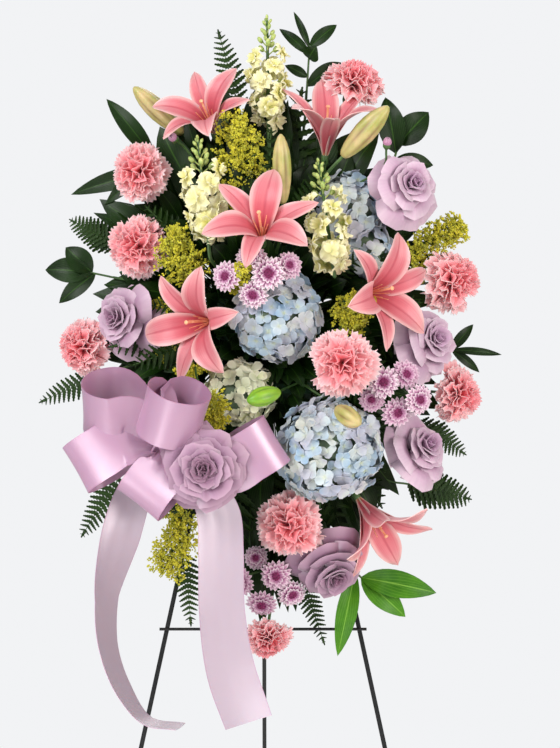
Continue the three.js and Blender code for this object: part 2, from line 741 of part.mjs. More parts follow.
function mumSpray({ at, face, blooms, nudge, via, forkBack = 44 }) {
  const out = from(face).normalize();
  const fork = from(at).addScaledVector(out, -forkBack);
  const heads = [];
  const ends = [];
  for (const [x, y, z, size] of blooms) {
    const place = from(at).add(vector(x, y, z));
    const tilt = out.clone().add(vector(0.012 * x, 0, 0.012 * z)).normalize();
    heads.push(moved(mumBloom(size), facing(place.toArray(), tilt.toArray(), x)));
    ends.push({ at: place.addScaledVector(tilt, -0.2 * size), out: tilt });
  }
  const how = { radius: STEM_RADIUS.mum, nudge, via };
  return fuse([...heads, ...forkedStem(fork, ends, how, TWIG_RADIUS.mum)]);
}

const MUMS = [
  {
    name: "mums_centre",
    at: [-2, -240, 64],
    face: [0, -1, 0.05],
    forkBack: 32,
    via: [-8, -138, 74],
    blooms: [[-40, 6, -9, 17], [-11, 14, 13, 17], [9, -4, -6, 19], [-9, 10, -30, 17], [33, 12, 4, 16]],
  },
  {
    name: "mums_right",
    at: [158, -216, -82],
    face: [0.2, -0.98, -0.05],
    blooms: [[-15, -4, 12, 18], [12, 10, 21, 17], [27, -2, -8, 17], [2, 10, -23, 18], [-28, 8, -8, 15]],
  },
  {
    name: "mums_low",
    at: [4, -140, -316],
    face: [-0.1, -0.9, -0.35],
    nudge: [-12, 0, 0],
    blooms: [[-31, 0, 4, 17], [12, -6, 12, 18], [31, 6, -11, 17], [-5, 4, -23, 18], [-12, 10, 32, 14]],
  },
];

// Goldenrod: plumes of arching sprays, each beaded with small flower heads along its length.

const STALK_RADIUS = 0.9;

function beadedSpray(start, end, { arch = vector(0, 0, 0), beads, thick, stalk = 0 }) {
  const curve = curveThrough([start, start.clone().lerp(end, 0.55).add(arch), end]);
  const stations = [[0, STALK_RADIUS]];
  if (stalk) stations.push([stalk, STALK_RADIUS]);
  for (let k = 0; k < beads; k++) {
    const last = k === beads - 1;
    stations.push([mix(stalk, 1, (k + 0.5) / beads), thick * mix(1.1, 0.75, k / beads)]);
    stations.push([mix(stalk, 1, (k + 1) / beads), last ? STALK_RADIUS : 0.42 * thick]);
  }
  const sides = 3;
  const points = [];
  stations.forEach(([share, radius], i) => {
    const along = curve.getTangentAt(share);
    const across = along.clone().cross(vector(0, 0.3, 1)).normalize();
    const out = along.clone().cross(across);
    for (let j = 0; j < sides; j++) {
      const turn = (2 * Math.PI * j) / sides + i;
      const point = curve.getPointAt(share).addScaledVector(across, radius * Math.cos(turn));
      points.push(point.addScaledVector(out, radius * Math.sin(turn)));
    }
  });
  const corners = [0, 1, 2];
  for (let i = 0; i + 1 < stations.length; i++) {
    for (let j = 0; j < sides; j++) {
      const [a, b] = [i * sides + j, i * sides + ((j + 1) % sides)];
      corners.push(a, b + sides, b, a, a + sides, b + sides);
    }
  }
  const lastRing = (stations.length - 1) * sides;
  corners.push(lastRing, lastRing + 2, lastRing + 1);
  return solid(new THREE.BufferGeometry().setFromPoints(points).setIndex(corners));
}

// A plume is `spread` wide to each side.
function plume({ base, tip, spread, sprays = 4 }, roll) {
  const [start, end] = [from(base), from(tip)];
  const axis = end.clone().sub(start).normalize();
  const side = axis.clone().cross(vector(0, -1, 0)).normalize();
  const length = start.distanceTo(end);
  const thick = limit(0.07 * length, 2.8, 4.8);
  const parts = [beadedSpray(start, end, { beads: 4, thick })];
  const arch = axis.clone().multiplyScalar(-0.08 * length);
  for (let k = 0; k < sprays; k++) {
    const root = start.clone().addScaledVector(axis, (length * 0.8 * k) / sprays);
    const goal = root.clone().addScaledVector(axis, mix(0.35, 0.5, roll()) * length);
    const sign = k % 2 ? 1 : -1;
    goal.addScaledVector(side, sign * spread * mix(0.8, 1.1, roll()) * (1 - (0.35 * k) / sprays));
    goal.y -= mix(0, 14, roll());
    parts.push(beadedSpray(root, goal, { arch, beads: 2, thick: 0.95 * thick, stalk: 0.3 }));
  }
  return parts;
}

function goldenrod({ plumes, fork, seed, nudge }) {
  const roll = dice(seed);
  const parts = plumes.flatMap((one) => plume(one, roll));
  const ends = plumes.map(({ base, tip }) => {
    const out = from(tip).sub(from(base)).normalize();
    return { at: from(base).addScaledVector(out, 3), out };
  });
  const how = { radius: STEM_RADIUS.goldenrod, nudge };
  return fuse([...parts, ...stemOrFork(fork, ends, how, TWIG_RADIUS.goldenrod)]);
}

const GOLDENRODS = [
  {
    name: "goldenrod_top",
    seed: 11,
    plumes: [{ base: [-25, -150, 172], tip: [-32, -150, 246], spread: 34 }],
  },
  {
    name: "goldenrod_left",
    seed: 12,
    fork: [-76, -128, -14],
    plumes: [
      { base: [-92, -158, 42], tip: [-108, -160, 108], spread: 30 },
      { base: [-68, -196, -86], tip: [-54, -214, -116], spread: 18, sprays: 2 },
    ],
  },
  {
    name: "goldenrod_low",
    seed: 14,
    plumes: [{ base: [-92, -112, -222], tip: [-118, -105, -300], spread: 30 }],
  },
  {
    name: "goldenrod_right",
    seed: 15,
    plumes: [{ base: [186, -95, 96], tip: [244, -92, 122], spread: 22 }],
  },
  {
    name: "goldenrod_centre",
    seed: 16,
    plumes: [{ base: [92, -180, -6], tip: [118, -188, 26], spread: 22, sprays: 3 }],
  },
];

// Greens

// A leaf from a twig to its tip, with its upper side turned to `face` and a gentle arch. Its foot goes
// through the twig.
const LEAF_ROOT = 4;
const HIGHEST_LEAF = 0.94; // how far up its twig a leaf may stand

function leaf(root, tip, width, face) {
  const along = tip.clone().sub(root).normalize();
  const foot = root.clone().addScaledVector(along, -LEAF_ROOT);
  const length = tip.distanceTo(foot);
  const up = face.clone().addScaledVector(along, -face.dot(along)).normalize();
  const side = along.clone().cross(up);
  return blade(3, 2, 1.4, (share, across) => {
    const half = Math.max(share < 1 ? 1.2 : 0, (width / 2) * Math.sin(Math.PI * share ** 0.8) ** 0.8);
    const lift = 0.12 * length * Math.sin(Math.PI * share) + 0.25 * half * across * across;
    return foot
      .clone()
      .addScaledVector(along, share * length)
      .addScaledVector(side, across * half)
      .addScaledVector(up, lift);
  });
}

// A fern frond from its foot to its tip: one arched blade, its outline cut to the rib between the leaflets.
const LEAFLETS = 6;

function frond(foot, tip, width, face) {
  const along = tip.clone().sub(foot);
  const length = along.length();
  along.normalize();
  const up = face.clone().addScaledVector(along, -face.dot(along)).normalize();
  const side = along.clone().cross(up);
  const rows = 2 * LEAFLETS;
  return blade(rows, 2, 1.6, (share, across) => {
    const row = Math.round(share * rows);
    const taper = Math.min(1, 0.35 + 2.6 * share) * (1 - share) ** 0.75;
    const half = row === 0 ? 1 : row === rows ? 0 : row % 2 ? (width / 2) * taper : 1.6;
    const lean = row % 2 ? 0.5 * Math.abs(across) * half : 0;
    return foot
      .clone()
      .addScaledVector(along, share * length + lean)
      .addScaledVector(side, across * half)
      .addScaledVector(up, 0.1 * length * Math.sin(Math.PI * share) - 0.12 * half * Math.abs(across));
  });
}

const FRONT = vector(0, -1, 0.15);

// One frond on its stem, or several on a forked one.
function fernStem({ fronds, fork, nudge }) {
  const blades = fronds.map(({ foot, tip, width }) => frond(from(foot), from(tip), width, FRONT));
  const ends = fronds.map(({ foot, tip }) => {
    const out = from(tip).sub(from(foot)).normalize();
    return { at: from(foot).addScaledVector(out, 4), out };
  });
  const how = { radius: STEM_RADIUS.fern, green: true, nudge };
  return fuse([...blades, ...stemOrFork(fork, ends, how, TWIG_RADIUS.fern)]);
}

// A stem with its leaves given as [share along the twig, tip x, y and z, width].
function leafyStem({ foot, tip, leaves, nudge, via }) {
  const [start, end] = [from(foot), from(tip)];
  const axis = end.clone().sub(start).normalize();
  const parts = [
    stem(start, axis, { radius: STEM_RADIUS.leaf, green: true, nudge, via }),
    straight(start.clone().addScaledVector(axis, -4), end, TWIG_RADIUS.leaf, 4),
  ];
  for (const [share, x, y, z, width] of leaves) {
    const root = start.clone().lerp(end, Math.min(share, HIGHEST_LEAF));
    parts.push(leaf(root, vector(x, y, z), width, FRONT));
  }
  return parts;
}

const FERNS = [
  { name: "fern_top_left", fronds: [{ foot: [-30, -78, 268], tip: [-56, -58, 368], width: 46 }] },
  {
    name: "ferns_left",
    fork: [-114, -60, -24],
    fronds: [
      { foot: [-180, -66, 98], tip: [-240, -60, 132], width: 44 },
      { foot: [-196, -80, -62], tip: [-278, -58, -95], width: 40 },
      { foot: [-176, -84, -186], tip: [-226, -60, -262], width: 40 },
    ],
  },
  {
    name: "ferns_bottom",
    fork: [-22, -64, -196],
    fronds: [
      { foot: [-96, -76, -282], tip: [-90, -66, -372], width: 40 },
      { foot: [50, -68, -320], tip: [76, -60, -396], width: 34 },
    ],
  },
  {
    name: "ferns_right",
    fork: [124, -68, -126],
    fronds: [
      { foot: [190, -70, -120], tip: [252, -56, -160], width: 40 },
      { foot: [178, -76, -196], tip: [258, -60, -216], width: 52 },
    ],
  },
];

const LEAFY_STEMS = [
  {
    name: "ruscus_top",
    foot: [54, -72, 292],
    tip: [58, -66, 350],
    leaves: [
      [1, 92, -60, 376, 17],
      [0.95, 38, -62, 392, 9],
      [0.8, 20, -66, 370, 14],
      [0.7, 66, -84, 346, 24],
      [0.3, 27, -70, 324, 13],
      [0.1, 98, -52, 330, 20],
    ],
  },
  {
    name: "foliage_upper_left",
    foot: [-96, -72, 176],
    tip: [-140, -66, 212],
    leaves: [
      [0.9, -196, -56, 284, 24],
      [0.5, -240, -60, 164, 26],
      [0.2, -110, -60, 268, 24],
      [0.8, -196, -80, 150, 22],
    ],
  },
  {
    name: "salal_left",
    foot: [-186, -78, 60],
    tip: [-214, -72, 66],
    leaves: [[1, -272, -62, 70, 32], [0.8, -254, -70, 28, 22], [1, -246, -66, 98, 30]],
  },
  {
    name: "salal_upper_right",
    foot: [160, -78, 196],
    tip: [168, -74, 226],
    leaves: [[0.6, 152, -74, 284, 34], [1, 206, -70, 266, 36], [0.3, 212, -66, 200, 22]],
  },
  {
    name: "foliage_right",
    foot: [216, -74, -30],
    tip: [236, -68, -30],
    leaves: [[1, 298, -60, -36, 10], [0.9, 262, -64, 2, 14], [1, 270, -60, -58, 12]],
  },
  {
    name: "lily_leaves_low",
    foot: [108, -92, -300],
    tip: [122, -90, -312],
    via: [84, -68, -200],
    leaves: [[0.4, 92, -96, -408, 26], [1, 176, -92, -360, 30], [1, 214, -96, -330, 34]],
  },
];

// Ribbon: five loops drawn together at a knot, and two tails. A station is a point, the direction across
// the ribbon and its width there.

function strip(stations) {
  const points = [];
  stations.forEach(({ at, across, width }, i) => {
    const before = stations[Math.max(i - 1, 0)].at;
    const after = stations[Math.min(i + 1, stations.length - 1)].at;
    const along = after.clone().sub(before).normalize();
    const wide = across.clone().addScaledVector(along, -across.dot(along)).normalize();
    const out = along.clone().cross(wide);
    for (const [x, y] of [[-1, -1], [1, -1], [1, 1], [-1, 1]]) {
      const point = at.clone().addScaledVector(wide, (x * width) / 2);
      points.push(point.addScaledVector(out, (y * RIBBON.thickness) / 2));
    }
  });
  const corners = [0, 2, 1, 0, 3, 2];
  for (let i = 0; i + 1 < stations.length; i++) {
    const a = 4 * i;
    // Bottom and top are split alike, then the two edges.
    corners.push(a, a + 1, a + 5, a, a + 5, a + 4, a + 3, a + 6, a + 2, a + 3, a + 7, a + 6);
    corners.push(a + 1, a + 2, a + 6, a + 1, a + 6, a + 5, a + 3, a, a + 4, a + 3, a + 4, a + 7);
  }
  const last = 4 * (stations.length - 1);
  corners.push(last, last + 1, last + 2, last, last + 2, last + 3);
  return solid(new THREE.BufferGeometry().setFromPoints(points).setIndex(corners));
}

const KNOT = [-114, -226, -147];
const KNOT_RADIUS = 14;
const LOOPS = [
  { out: [-0.62, 0.1, 0.62], across: [0.1, -0.5, 0.86], length: 100, fat: 70, gather: 0.5 },
  { out: [0.35, -0.25, 0.75], across: [0.42, -0.4, 0.75], length: 84, fat: 58, gather: 0.5 },
  { out: [-0.95, 0, 0.1], across: [0.55, -0.45, -0.7], length: 96, fat: 50, gather: 0.5 },
  { out: [-0.22, -0.2, -0.9], across: [0.8, -0.35, -0.35], length: 84, fat: 40, gather: 0.5 },
  { out: [0.98, 0, 0.12], across: [0.35, -0.4, 0.85], length: 132, fat: 44, gather: 0.8 },
];
const LOOP_STEPS = 9;

function loopStations({ out, across, length, fat, gather }) {
  const away = from(out).normalize();
  const wide = from(across).addScaledVector(away, -from(across).dot(away)).normalize();
  const side = away.clone().cross(wide);
  const stations = [];
  for (let i = 0; i <= LOOP_STEPS; i++) {
    const turn = Math.PI * mix(0.012, 0.988, i / LOOP_STEPS);
    const reach = length * Math.sin(turn);
    const open = Math.min(1, reach / (gather * length));
    stations.push({
      at: from(KNOT)
        .addScaledVector(away, reach)
        .addScaledVector(side, (fat / 2) * Math.sin(2 * turn)),
      across: wide,
      width: RIBBON.width * mix(0.15, 1, open ** 1.8),
    });
  }
  return stations;
}

// A tail's stations: [x, y, z, degrees that the ribbon is turned from facing the viewer, share of its width].
const TAILS = [
  [
    [-118, -226, -150, 10, 0.3],
    [-148, -228, -200, 12, 0.75],
    [-172, -220, -262, 30, 0.9],
    [-188, -206, -330, 55, 0.95],
    [-182, -196, -390, 68, 1],
    [-166, -190, -440, 76, 1],
    [-138, -190, -476, 84, 1],
    [-98, -196, -482, 84, 1],
  ],
  [
    [-108, -224, -152, 0, 0.3],
    [-86, -224, -194, 0, 0.6],
    [-50, -228, -250, 10, 0.85],
    [-48, -224, -330, 18, 0.9],
    [-38, -214, -410, 12, 0.95],
    [-16, -206, -474, -8, 0.95],
  ],
];

function tailStations(points) {
  const path = curveThrough(points.map(([x, y, z]) => vector(x, y, z)));
  const steps = Math.round(1.5 * (points.length - 1));
  return Array.from({ length: steps + 1 }, (_, i) => {
    const place = (i * (points.length - 1)) / steps;
    const [low, high] = [Math.floor(place), Math.ceil(place)];
    const degrees = mix(points[low][3], points[high][3], place - low);
    const turn = (degrees * Math.PI) / 180;
    const across = vector(Math.cos(turn), Math.sin(turn), 0);
    const share = mix(points[low][4], points[high][4], place - low);
    return { at: path.getPoint(i / steps), across, width: RIBBON.width * share };
  });
}

function ribbonBow() {
  const knot = solid(new THREE.OctahedronGeometry(KNOT_RADIUS, 1).translate(...KNOT));
  const bands = [...LOOPS.map(loopStations), ...TAILS.map(tailStations)];
  return fuse([knot, ...bands.map(strip)]);
}

// A wooden pick carries the bow: its end stands just behind the knot.
function bowPick() {
  const end = from(KNOT).add(vector(6, 12.5, 2));
  const how = { radius: STEM_RADIUS.pick, nudge: [-10, -16, 0], via: [-70, -150, -106] };
  return stem(end, vector(-0.5, -0.85, -0.1).normalize(), how);
}

// Assembly

const spray = new THREE.Group();
spray.position.z = SPRAY_HEIGHT;
const easel = new THREE.Group();
const standingSpray = new THREE.Group();
standingSpray.add(easel, spray);

// A solid as a named mesh in a group.
function add(group, name, piece, material) {
  const { numProp, numVert, vertProperties, triVerts } = piece.getMesh();
  const points = new Float32Array(3 * numVert);
  for (let i = 0; i < numVert; i++) {
    points.set(vertProperties.subarray(i * numProp, i * numProp + 3), 3 * i);
  }
  const geometry = new THREE.BufferGeometry();
  geometry.setAttribute("position", new THREE.BufferAttribute(points, 3));
  geometry.setIndex(new THREE.BufferAttribute(triVerts, 1));
  geometry.computeVertexNormals();
  const mesh = new THREE.Mesh(geometry, material);
  mesh.name = name;
  group.add(mesh);
}

add(easel, "easel_leg_left", frontLeg(-1), colours.wire);
add(easel, "easel_leg_right", frontLeg(1), colours.wire);
add(easel, "easel_rear_leg", rearLeg(), colours.wire);
add(easel, "easel_top_wire", frameWire(TOP_WIRE_DOWN, TOP_WIRE_HALF), colours.wire);
add(easel, "easel_hanger_wire", frameWire(0, HANGER_WIRE_HALF), colours.wire);
const crossHalf = frontLegX(CROSS_WIRE_DOWN) + LEG_RADIUS + WIRE_OVERHANG;
add(easel, "easel_cross_wire", frameWire(CROSS_WIRE_DOWN, crossHalf), colours.wire);

// Each head stands on its stem this far below its middle.
const below = {
  lily: ({ deep }) => deep + 6,
  bud: ({ length }) => BUD_FOOT * length,
  rose: ({ size }) => 0.76 * size,
  carnation: ({ size }) => 0.9 * size,
  hydrangea: ({ size }) => 0.5 * size,
};
LILIES.forEach((lily, k) => {
  const head = lilyHead({ ...lily, seed: k + 1 });
  add(spray, lily.name, bloom(lily, head, below.lily(lily), STEM_RADIUS.lily), colours.lily);
});
for (const bud of BUDS) {
  const head = budShape(bud.length, bud.radius);
  add(spray, bud.name, bloom(bud, head, below.bud(bud), STEM_RADIUS.bud), colours.bud);
}
add(spray, LOW_BUDS.name, lowBuds(LOW_BUDS), colours.bud);
for (const rose of ROSES) {
  const piece = bloom(rose, roseHead(rose), below.rose(rose), STEM_RADIUS.rose);
  add(spray, rose.name, piece, colours.rose);
}
for (const flower of CARNATIONS) {
  const piece = bloom(flower, carnationHead(flower), below.carnation(flower), STEM_RADIUS.carnation);
  add(spray, flower.name, piece, colours.carnation);
}
HYDRANGEAS.forEach((flower, k) => {
  const head = hydrangeaHead({ ...flower, seed: k + FIRST_HYDRANGEA_SEED });
  const piece = bloom(flower, head, below.hydrangea(flower), STEM_RADIUS.hydrangea);
  add(spray, flower.name, piece, colours.hydrangea);
});
for (const spike of STOCKS) add(spray, spike.name, stockSpike(spike), colours.stock);
for (const cluster of MUMS) add(spray, cluster.name, mumSpray(cluster), colours.mum);
for (const stalk of GOLDENRODS) add(spray, stalk.name, goldenrod(stalk), colours.goldenrod);
for (const fern of FERNS) add(spray, fern.name, fernStem(fern), colours.fern);
for (const twig of LEAFY_STEMS) add(spray, twig.name, fuse(leafyStem(twig)), colours.leaf);
add(spray, "ribbon_bow", ribbonBow(), colours.ribbon);
add(spray, "bow_pick", bowPick(), colours.pick);

const drilled = wasm.Manifold.union(
  holes.map(({ curve, radius }) => rod(curve, radius, STEM_SIDES, STEM_STEPS)),
);
add(spray, "floral_foam", foamBlock().subtract(drilled).asOriginal().simplify(SLIVER), colours.foam);
add(spray, "foam_tray", tray(), colours.tray);

// The origin is on the floor, under the middle of the whole standing spray.
const reach = new THREE.Box3().setFromObject(standingSpray);
const middle = reach.getCenter(vector(0, 0, 0));
standingSpray.position.set(-middle.x, -middle.y, 0);

export default standingSpray;
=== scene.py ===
# %% [markdown]
# # A standing funeral spray
#
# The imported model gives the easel, the tray, the foam and a plain faceted solid for each flower. This
# lesson keeps the hard parts, gives each flower its real petals and adds the leaves that fill the spray.
# Every flower stays where its solid is, because its place is worked out from the foam's own box.

# %% The frame
import math
import random

import bmesh
import bpy
from mathutils import Matrix, Vector


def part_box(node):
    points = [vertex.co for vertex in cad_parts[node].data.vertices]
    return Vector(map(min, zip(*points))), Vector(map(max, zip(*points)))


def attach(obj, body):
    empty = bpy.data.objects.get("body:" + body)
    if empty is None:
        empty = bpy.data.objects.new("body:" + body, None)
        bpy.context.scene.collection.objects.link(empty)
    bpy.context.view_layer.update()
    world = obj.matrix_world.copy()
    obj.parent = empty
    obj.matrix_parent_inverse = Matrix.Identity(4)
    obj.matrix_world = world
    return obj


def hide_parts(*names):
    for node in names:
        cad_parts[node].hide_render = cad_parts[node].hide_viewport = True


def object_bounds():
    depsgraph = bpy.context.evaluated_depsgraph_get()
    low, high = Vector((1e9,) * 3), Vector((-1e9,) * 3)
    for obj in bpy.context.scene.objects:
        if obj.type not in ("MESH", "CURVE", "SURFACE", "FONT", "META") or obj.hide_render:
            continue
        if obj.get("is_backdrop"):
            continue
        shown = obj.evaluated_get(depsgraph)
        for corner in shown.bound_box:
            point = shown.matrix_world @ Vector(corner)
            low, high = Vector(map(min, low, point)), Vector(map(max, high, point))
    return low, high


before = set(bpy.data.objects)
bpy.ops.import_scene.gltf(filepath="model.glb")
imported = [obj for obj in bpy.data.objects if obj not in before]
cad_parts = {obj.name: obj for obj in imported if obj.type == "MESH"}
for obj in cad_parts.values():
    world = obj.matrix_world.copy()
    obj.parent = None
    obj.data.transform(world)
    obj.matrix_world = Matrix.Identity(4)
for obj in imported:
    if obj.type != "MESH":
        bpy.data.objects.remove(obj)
cad_box = [list(corner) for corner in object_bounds()]
print("The model's box in metres:", cad_box)

# %% [markdown]
# ## One plan for all the places
#
# The flowers were placed on a plan in millimetres, with +Z up and the viewer on the -Y side. The foam block
# is on that plan too, so the middle of its box tells where the plan lies in the frame. Everything is
# modelled in the plan's millimetres and changed to metres once, at the end.

# %% From the plan to the frame
FOAM_ON_PLAN = Vector((0, -66.0, 2.1))
METRES = 0.001
GOLDEN_ANGLE = math.pi * (3 - math.sqrt(5))

lowest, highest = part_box("floral_foam")
TO_FRAME = (
    Matrix.Translation((lowest + highest) / 2)
    @ Matrix.Diagonal((METRES, METRES, METRES, 1))
    @ Matrix.Translation(-FOAM_ON_PLAN)
)
print("The plan's middle in the frame:", TO_FRAME @ Vector((0, 0, 0)))

# %% [markdown]
# ## Camera, floor and light
#
# The photograph was taken from straight ahead with a long lens, about level with the spray's middle. The
# wall behind is left out: a pale sky stands for it. A large soft lamp on the left gives the shapes their
# shade, and a weaker one on the right opens the shadows. A small low one stands for the light that a white
# floor throws up, which draws the bright bands on the bow's rolls. The sky lights less than it shows, as a
# white wall far behind does, so the gaps between the flowers stay dark. Standard is the plainest way from
# light to screen: it keeps the petals as bright and pure as their colours are written.

# %% Camera
EYE = TO_FRAME @ Vector((21, -3120, -60))
LENS = 118
SENSOR = 36  # mm along the picture's long side

camera_data = bpy.data.cameras.new("studio_camera")
camera_data.lens = LENS
camera_data.sensor_width = SENSOR
camera = bpy.data.objects.new("studio_camera", camera_data)
camera.location = EYE
camera.rotation_euler = (math.pi / 2, 0, 0)
bpy.context.scene.collection.objects.link(camera)
bpy.context.scene.camera = camera
print("The camera looks level from", EYE)


# %% [markdown]
# ## A few helpers for materials
#
# Colours are written as the hex values that one reads off a screen, and Blender mixes light in linear
# values, so one function changes them. Another adds a node to a material with its settings, its numbers and
# its links. Each finish is then painted as a real skin is: one ground colour, other colours laid over it by
# shares, and a fine relief.

# %% Colours and nodes
def linear(hex_colour):
    """A screen's hex colour as Blender's linear red, green, blue and alpha."""
    shares = [int(hex_colour[k : k + 2], 16) / 255 for k in (1, 3, 5)]
    return [s / 12.92 if s <= 0.04045 else ((s + 0.055) / 1.055) ** 2.4 for s in shares] + [1]


def fill(node, inputs):
    """Gives inputs their numbers, hex colours, or links from an output or from a node's first output."""
    for socket, value in inputs.items():
        if isinstance(value, bpy.types.Node):
            value = value.outputs[0]
        if isinstance(value, bpy.types.NodeSocket):
            node.id_data.links.new(value, node.inputs[socket])
        else:
            node.inputs[socket].default_value = linear(value) if isinstance(value, str) else value


def add_node(tree, kind, inputs, **settings):
    """Adds a node with its settings and with what goes into it."""
    added = tree.nodes.new("ShaderNode" + kind)
    for name, value in settings.items():
        setattr(added, name, value)
    fill(added, inputs)
    return added


def new_finish(name):
    """A material with its own tree, its shader and nothing else."""
    finish = bpy.data.materials.new(name)
    finish.use_nodes = True
    tree = finish.node_tree
    tree.nodes.clear()
    shader = add_node(tree, "BsdfPrincipled", {})
    add_node(tree, "OutputMaterial", {"Surface": shader})
    return finish, tree, shader


def paint(tree, shader, ground, layers, values, relief=None, inward=False):
    """Lays (share, colour) layers over the ground colour, adds the relief and gives the shader its values."""
    for share, colour in layers:
        mixed = add_node(tree, "Mix", {0: share, 6: ground, 7: colour}, data_type="RGBA")
        ground = mixed.outputs[2]
    fill(shader, {"Base Color": ground, **values})
    if relief:
        fill(shader, {"Normal": add_node(tree, "Bump", relief, invert=inward)})


def on_blade(tree):
    """A blade's UV place, its parts U and V, and the distance from the middle line, 0 to 0.5 at the rim."""
    uv = add_node(tree, "UVMap", {}, uv_map="UVMap")
    parts = add_node(tree, "SeparateXYZ", {0: uv})
    middle = add_node(tree, "Math", {0: parts, 1: 0.5}, operation="SUBTRACT")
    return uv, parts, add_node(tree, "Math", {0: middle}, operation="ABSOLUTE")


def mesh_from(model, name="part"):
    """The mesh of a model, which is freed."""
    mesh = bpy.data.meshes.new(name)
    model.to_mesh(mesh)
    model.free()
    return mesh


# %% Floor, sky and lamps
FLOOR_RADIUS = 3.6

floor_model = bmesh.new()
bmesh.ops.create_circle(floor_model, cap_ends=True, segments=96, radius=FLOOR_RADIUS)
floor = bpy.data.objects.new("studio_floor", mesh_from(floor_model, "studio_floor"))
bpy.context.scene.collection.objects.link(floor)
floor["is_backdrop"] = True
paper, _, shader = new_finish("matt paper, pale grey")
fill(shader, {"Base Color": "#DEDEDC", "Roughness": 0.9})
floor.data.materials.append(paper)

SKY_SHOWS = 0.99
SKY_LIGHTS = 0.42

sky = bpy.data.worlds.new("studio")
sky.use_nodes = True
seen = add_node(sky.node_tree, "LightPath", {}).outputs["Is Camera Ray"]
strength = add_node(sky.node_tree, "MapRange", {"Value": seen, "To Min": SKY_LIGHTS, "To Max": SKY_SHOWS})
fill(sky.node_tree.nodes["Background"], {"Color": "#F3F4F6", "Strength": strength})
bpy.context.scene.world = sky
bpy.context.scene.view_settings.view_transform = "Standard"

LAMPS = {  # place in metres from the spray's middle, side in metres, watts, colour
    "window_left": ((-2.2, -2.6, 1.7), 1.8, 114, "#FFFFFF"),
    "fill_right": ((2.6, -2.6, 0.5), 1.8, 90, "#FFF9F4"),
    "rim_back": ((0.6, 2.4, 1.8), 1.6, 30, "#FFFFFF"),
    "floor_bounce": ((-0.7, -1.5, -0.85), 0.8, 8, "#FFFFFF"),
}
SPRAY_MIDDLE = TO_FRAME @ Vector((0, -100, 0))
for name, (offset, side, watts, colour) in LAMPS.items():
    lamp_data = bpy.data.lights.new(name, "AREA")
    lamp_data.energy = watts
    lamp_data.size = side
    lamp_data.color = linear(colour)[:3]
    lamp = bpy.data.objects.new(name, lamp_data)
    lamp.location = SPRAY_MIDDLE + Vector(offset)
    lamp.rotation_euler = (SPRAY_MIDDLE - lamp.location).to_track_quat("-Z", "Y").to_euler()
    bpy.context.scene.collection.objects.link(lamp)
print(len(LAMPS), "lamps round", SPRAY_MIDDLE)


# %% [markdown]
# ## How a petal is coloured
#
# A real petal changes colour from its foot to its tip and from its middle line to its rim, and is streaked
# by fine veins that run along it. On the roses and carnations the darker foot is partly the flower's own
# colour and partly painted shade, for the depths of the bloom. Each blade below carries its own UV map, with
# U across and V along, so these patterns follow the petal however it curls. A `tint` number on each petal
# or floret shifts its colour a little, so that no two are quite alike; on the roses and carnations it also
# deepens the inner petals, partly their own colour and partly painted shade. Petals let light through,
# which a little subsurface gives.

# %% Petal finish
def petal_finish(
    name,
    along,
    tints=None,
    rib=None,
    rib_share=0.7,
    rim=None,
    rim_share=0.8,
    patches=None,
    vein=None,
    vein_share=0.25,
    veins=26,
    vein_length=1.6,
    relief=0.35,
    roughness=0.5,
    glow=0.25,
    glow_colour=(1.0, 0.45, 0.4),
    sheen=0.2,
):
    """A petal. along is a list of (share from foot to tip, colour). rim and rib are colours for its edge and
    its middle line, each with how much of the half width it takes. tints is a colour for petals of high tint,
    and patches is one for patches 30 to 40 mm wide, in which whole florets differ."""
    finish, tree, shader = new_finish(name)
    uv, parts, across = on_blade(tree)
    ramp = add_node(tree, "ValToRGB", {0: parts.outputs[1]})
    stops = ramp.color_ramp.elements
    while len(stops) < len(along):
        stops.new(0.5)
    for stop, (share, colour) in zip(stops, along):
        stop.position = share
        stop.color = linear(colour)
    bands = []
    if rib:
        bands.append((rib[0], rib[1] / 2, 0.0, rib_share))
    if rim:
        bands.append((rim[0], 0.5 - rim[1] / 2, 0.5, rim_share))
    layers = []
    for colour, start, full, most in bands:
        ranged = {"Value": across, "From Min": start, "From Max": full, "To Max": most}
        layers.append((add_node(tree, "MapRange", ranged, interpolation_type="SMOOTHSTEP"), colour))
    if tints:
        tint = add_node(tree, "Attribute", {}, attribute_name="tint")
        layers.append((tint.outputs["Fac"], tints))
    if patches:
        place = add_node(tree, "TexCoord", {}).outputs["Object"]
        cloud = add_node(tree, "TexNoise", {"Vector": place, "Scale": 28.0, "Detail": 1.0})
        ranged = {"Value": cloud, "From Min": 0.48, "From Max": 0.62, "To Max": 0.75}
        layers.append((add_node(tree, "MapRange", ranged), patches))
    # Fine veins: noise drawn out along the petal. Real ones stand about 0.5 mm apart.
    stretch = add_node(tree, "Mapping", {"Vector": uv, "Scale": (veins, vein_length, 1)})
    streaks = add_node(tree, "TexNoise", {"Vector": stretch, "Scale": 1.0, "Detail": 3.0, "Roughness": 0.6})
    ranged = {"Value": streaks, "From Min": 0.42, "From Max": 0.75, "To Max": vein_share}
    layers.append((add_node(tree, "MapRange", ranged), vein or along[-1][1]))
    values = {
        "Roughness": roughness,
        "Subsurface Weight": glow,
        "Subsurface Radius": glow_colour,
        "Subsurface Scale": 0.004,
        "Sheen Weight": sheen,
        "Sheen Roughness": 0.5,
    }
    raised = {"Height": streaks, "Strength": relief, "Distance": 0.0008}
    paint(tree, shader, ramp, layers, values, raised)
    return finish


# %% [markdown]
# Leaves have a waxy skin over a deep green, a pale midrib and side veins that slant from it towards the
# tip. A plain green stem has only soft blotches, so it reads Object coordinates: a stem has no use for a UV
# map.

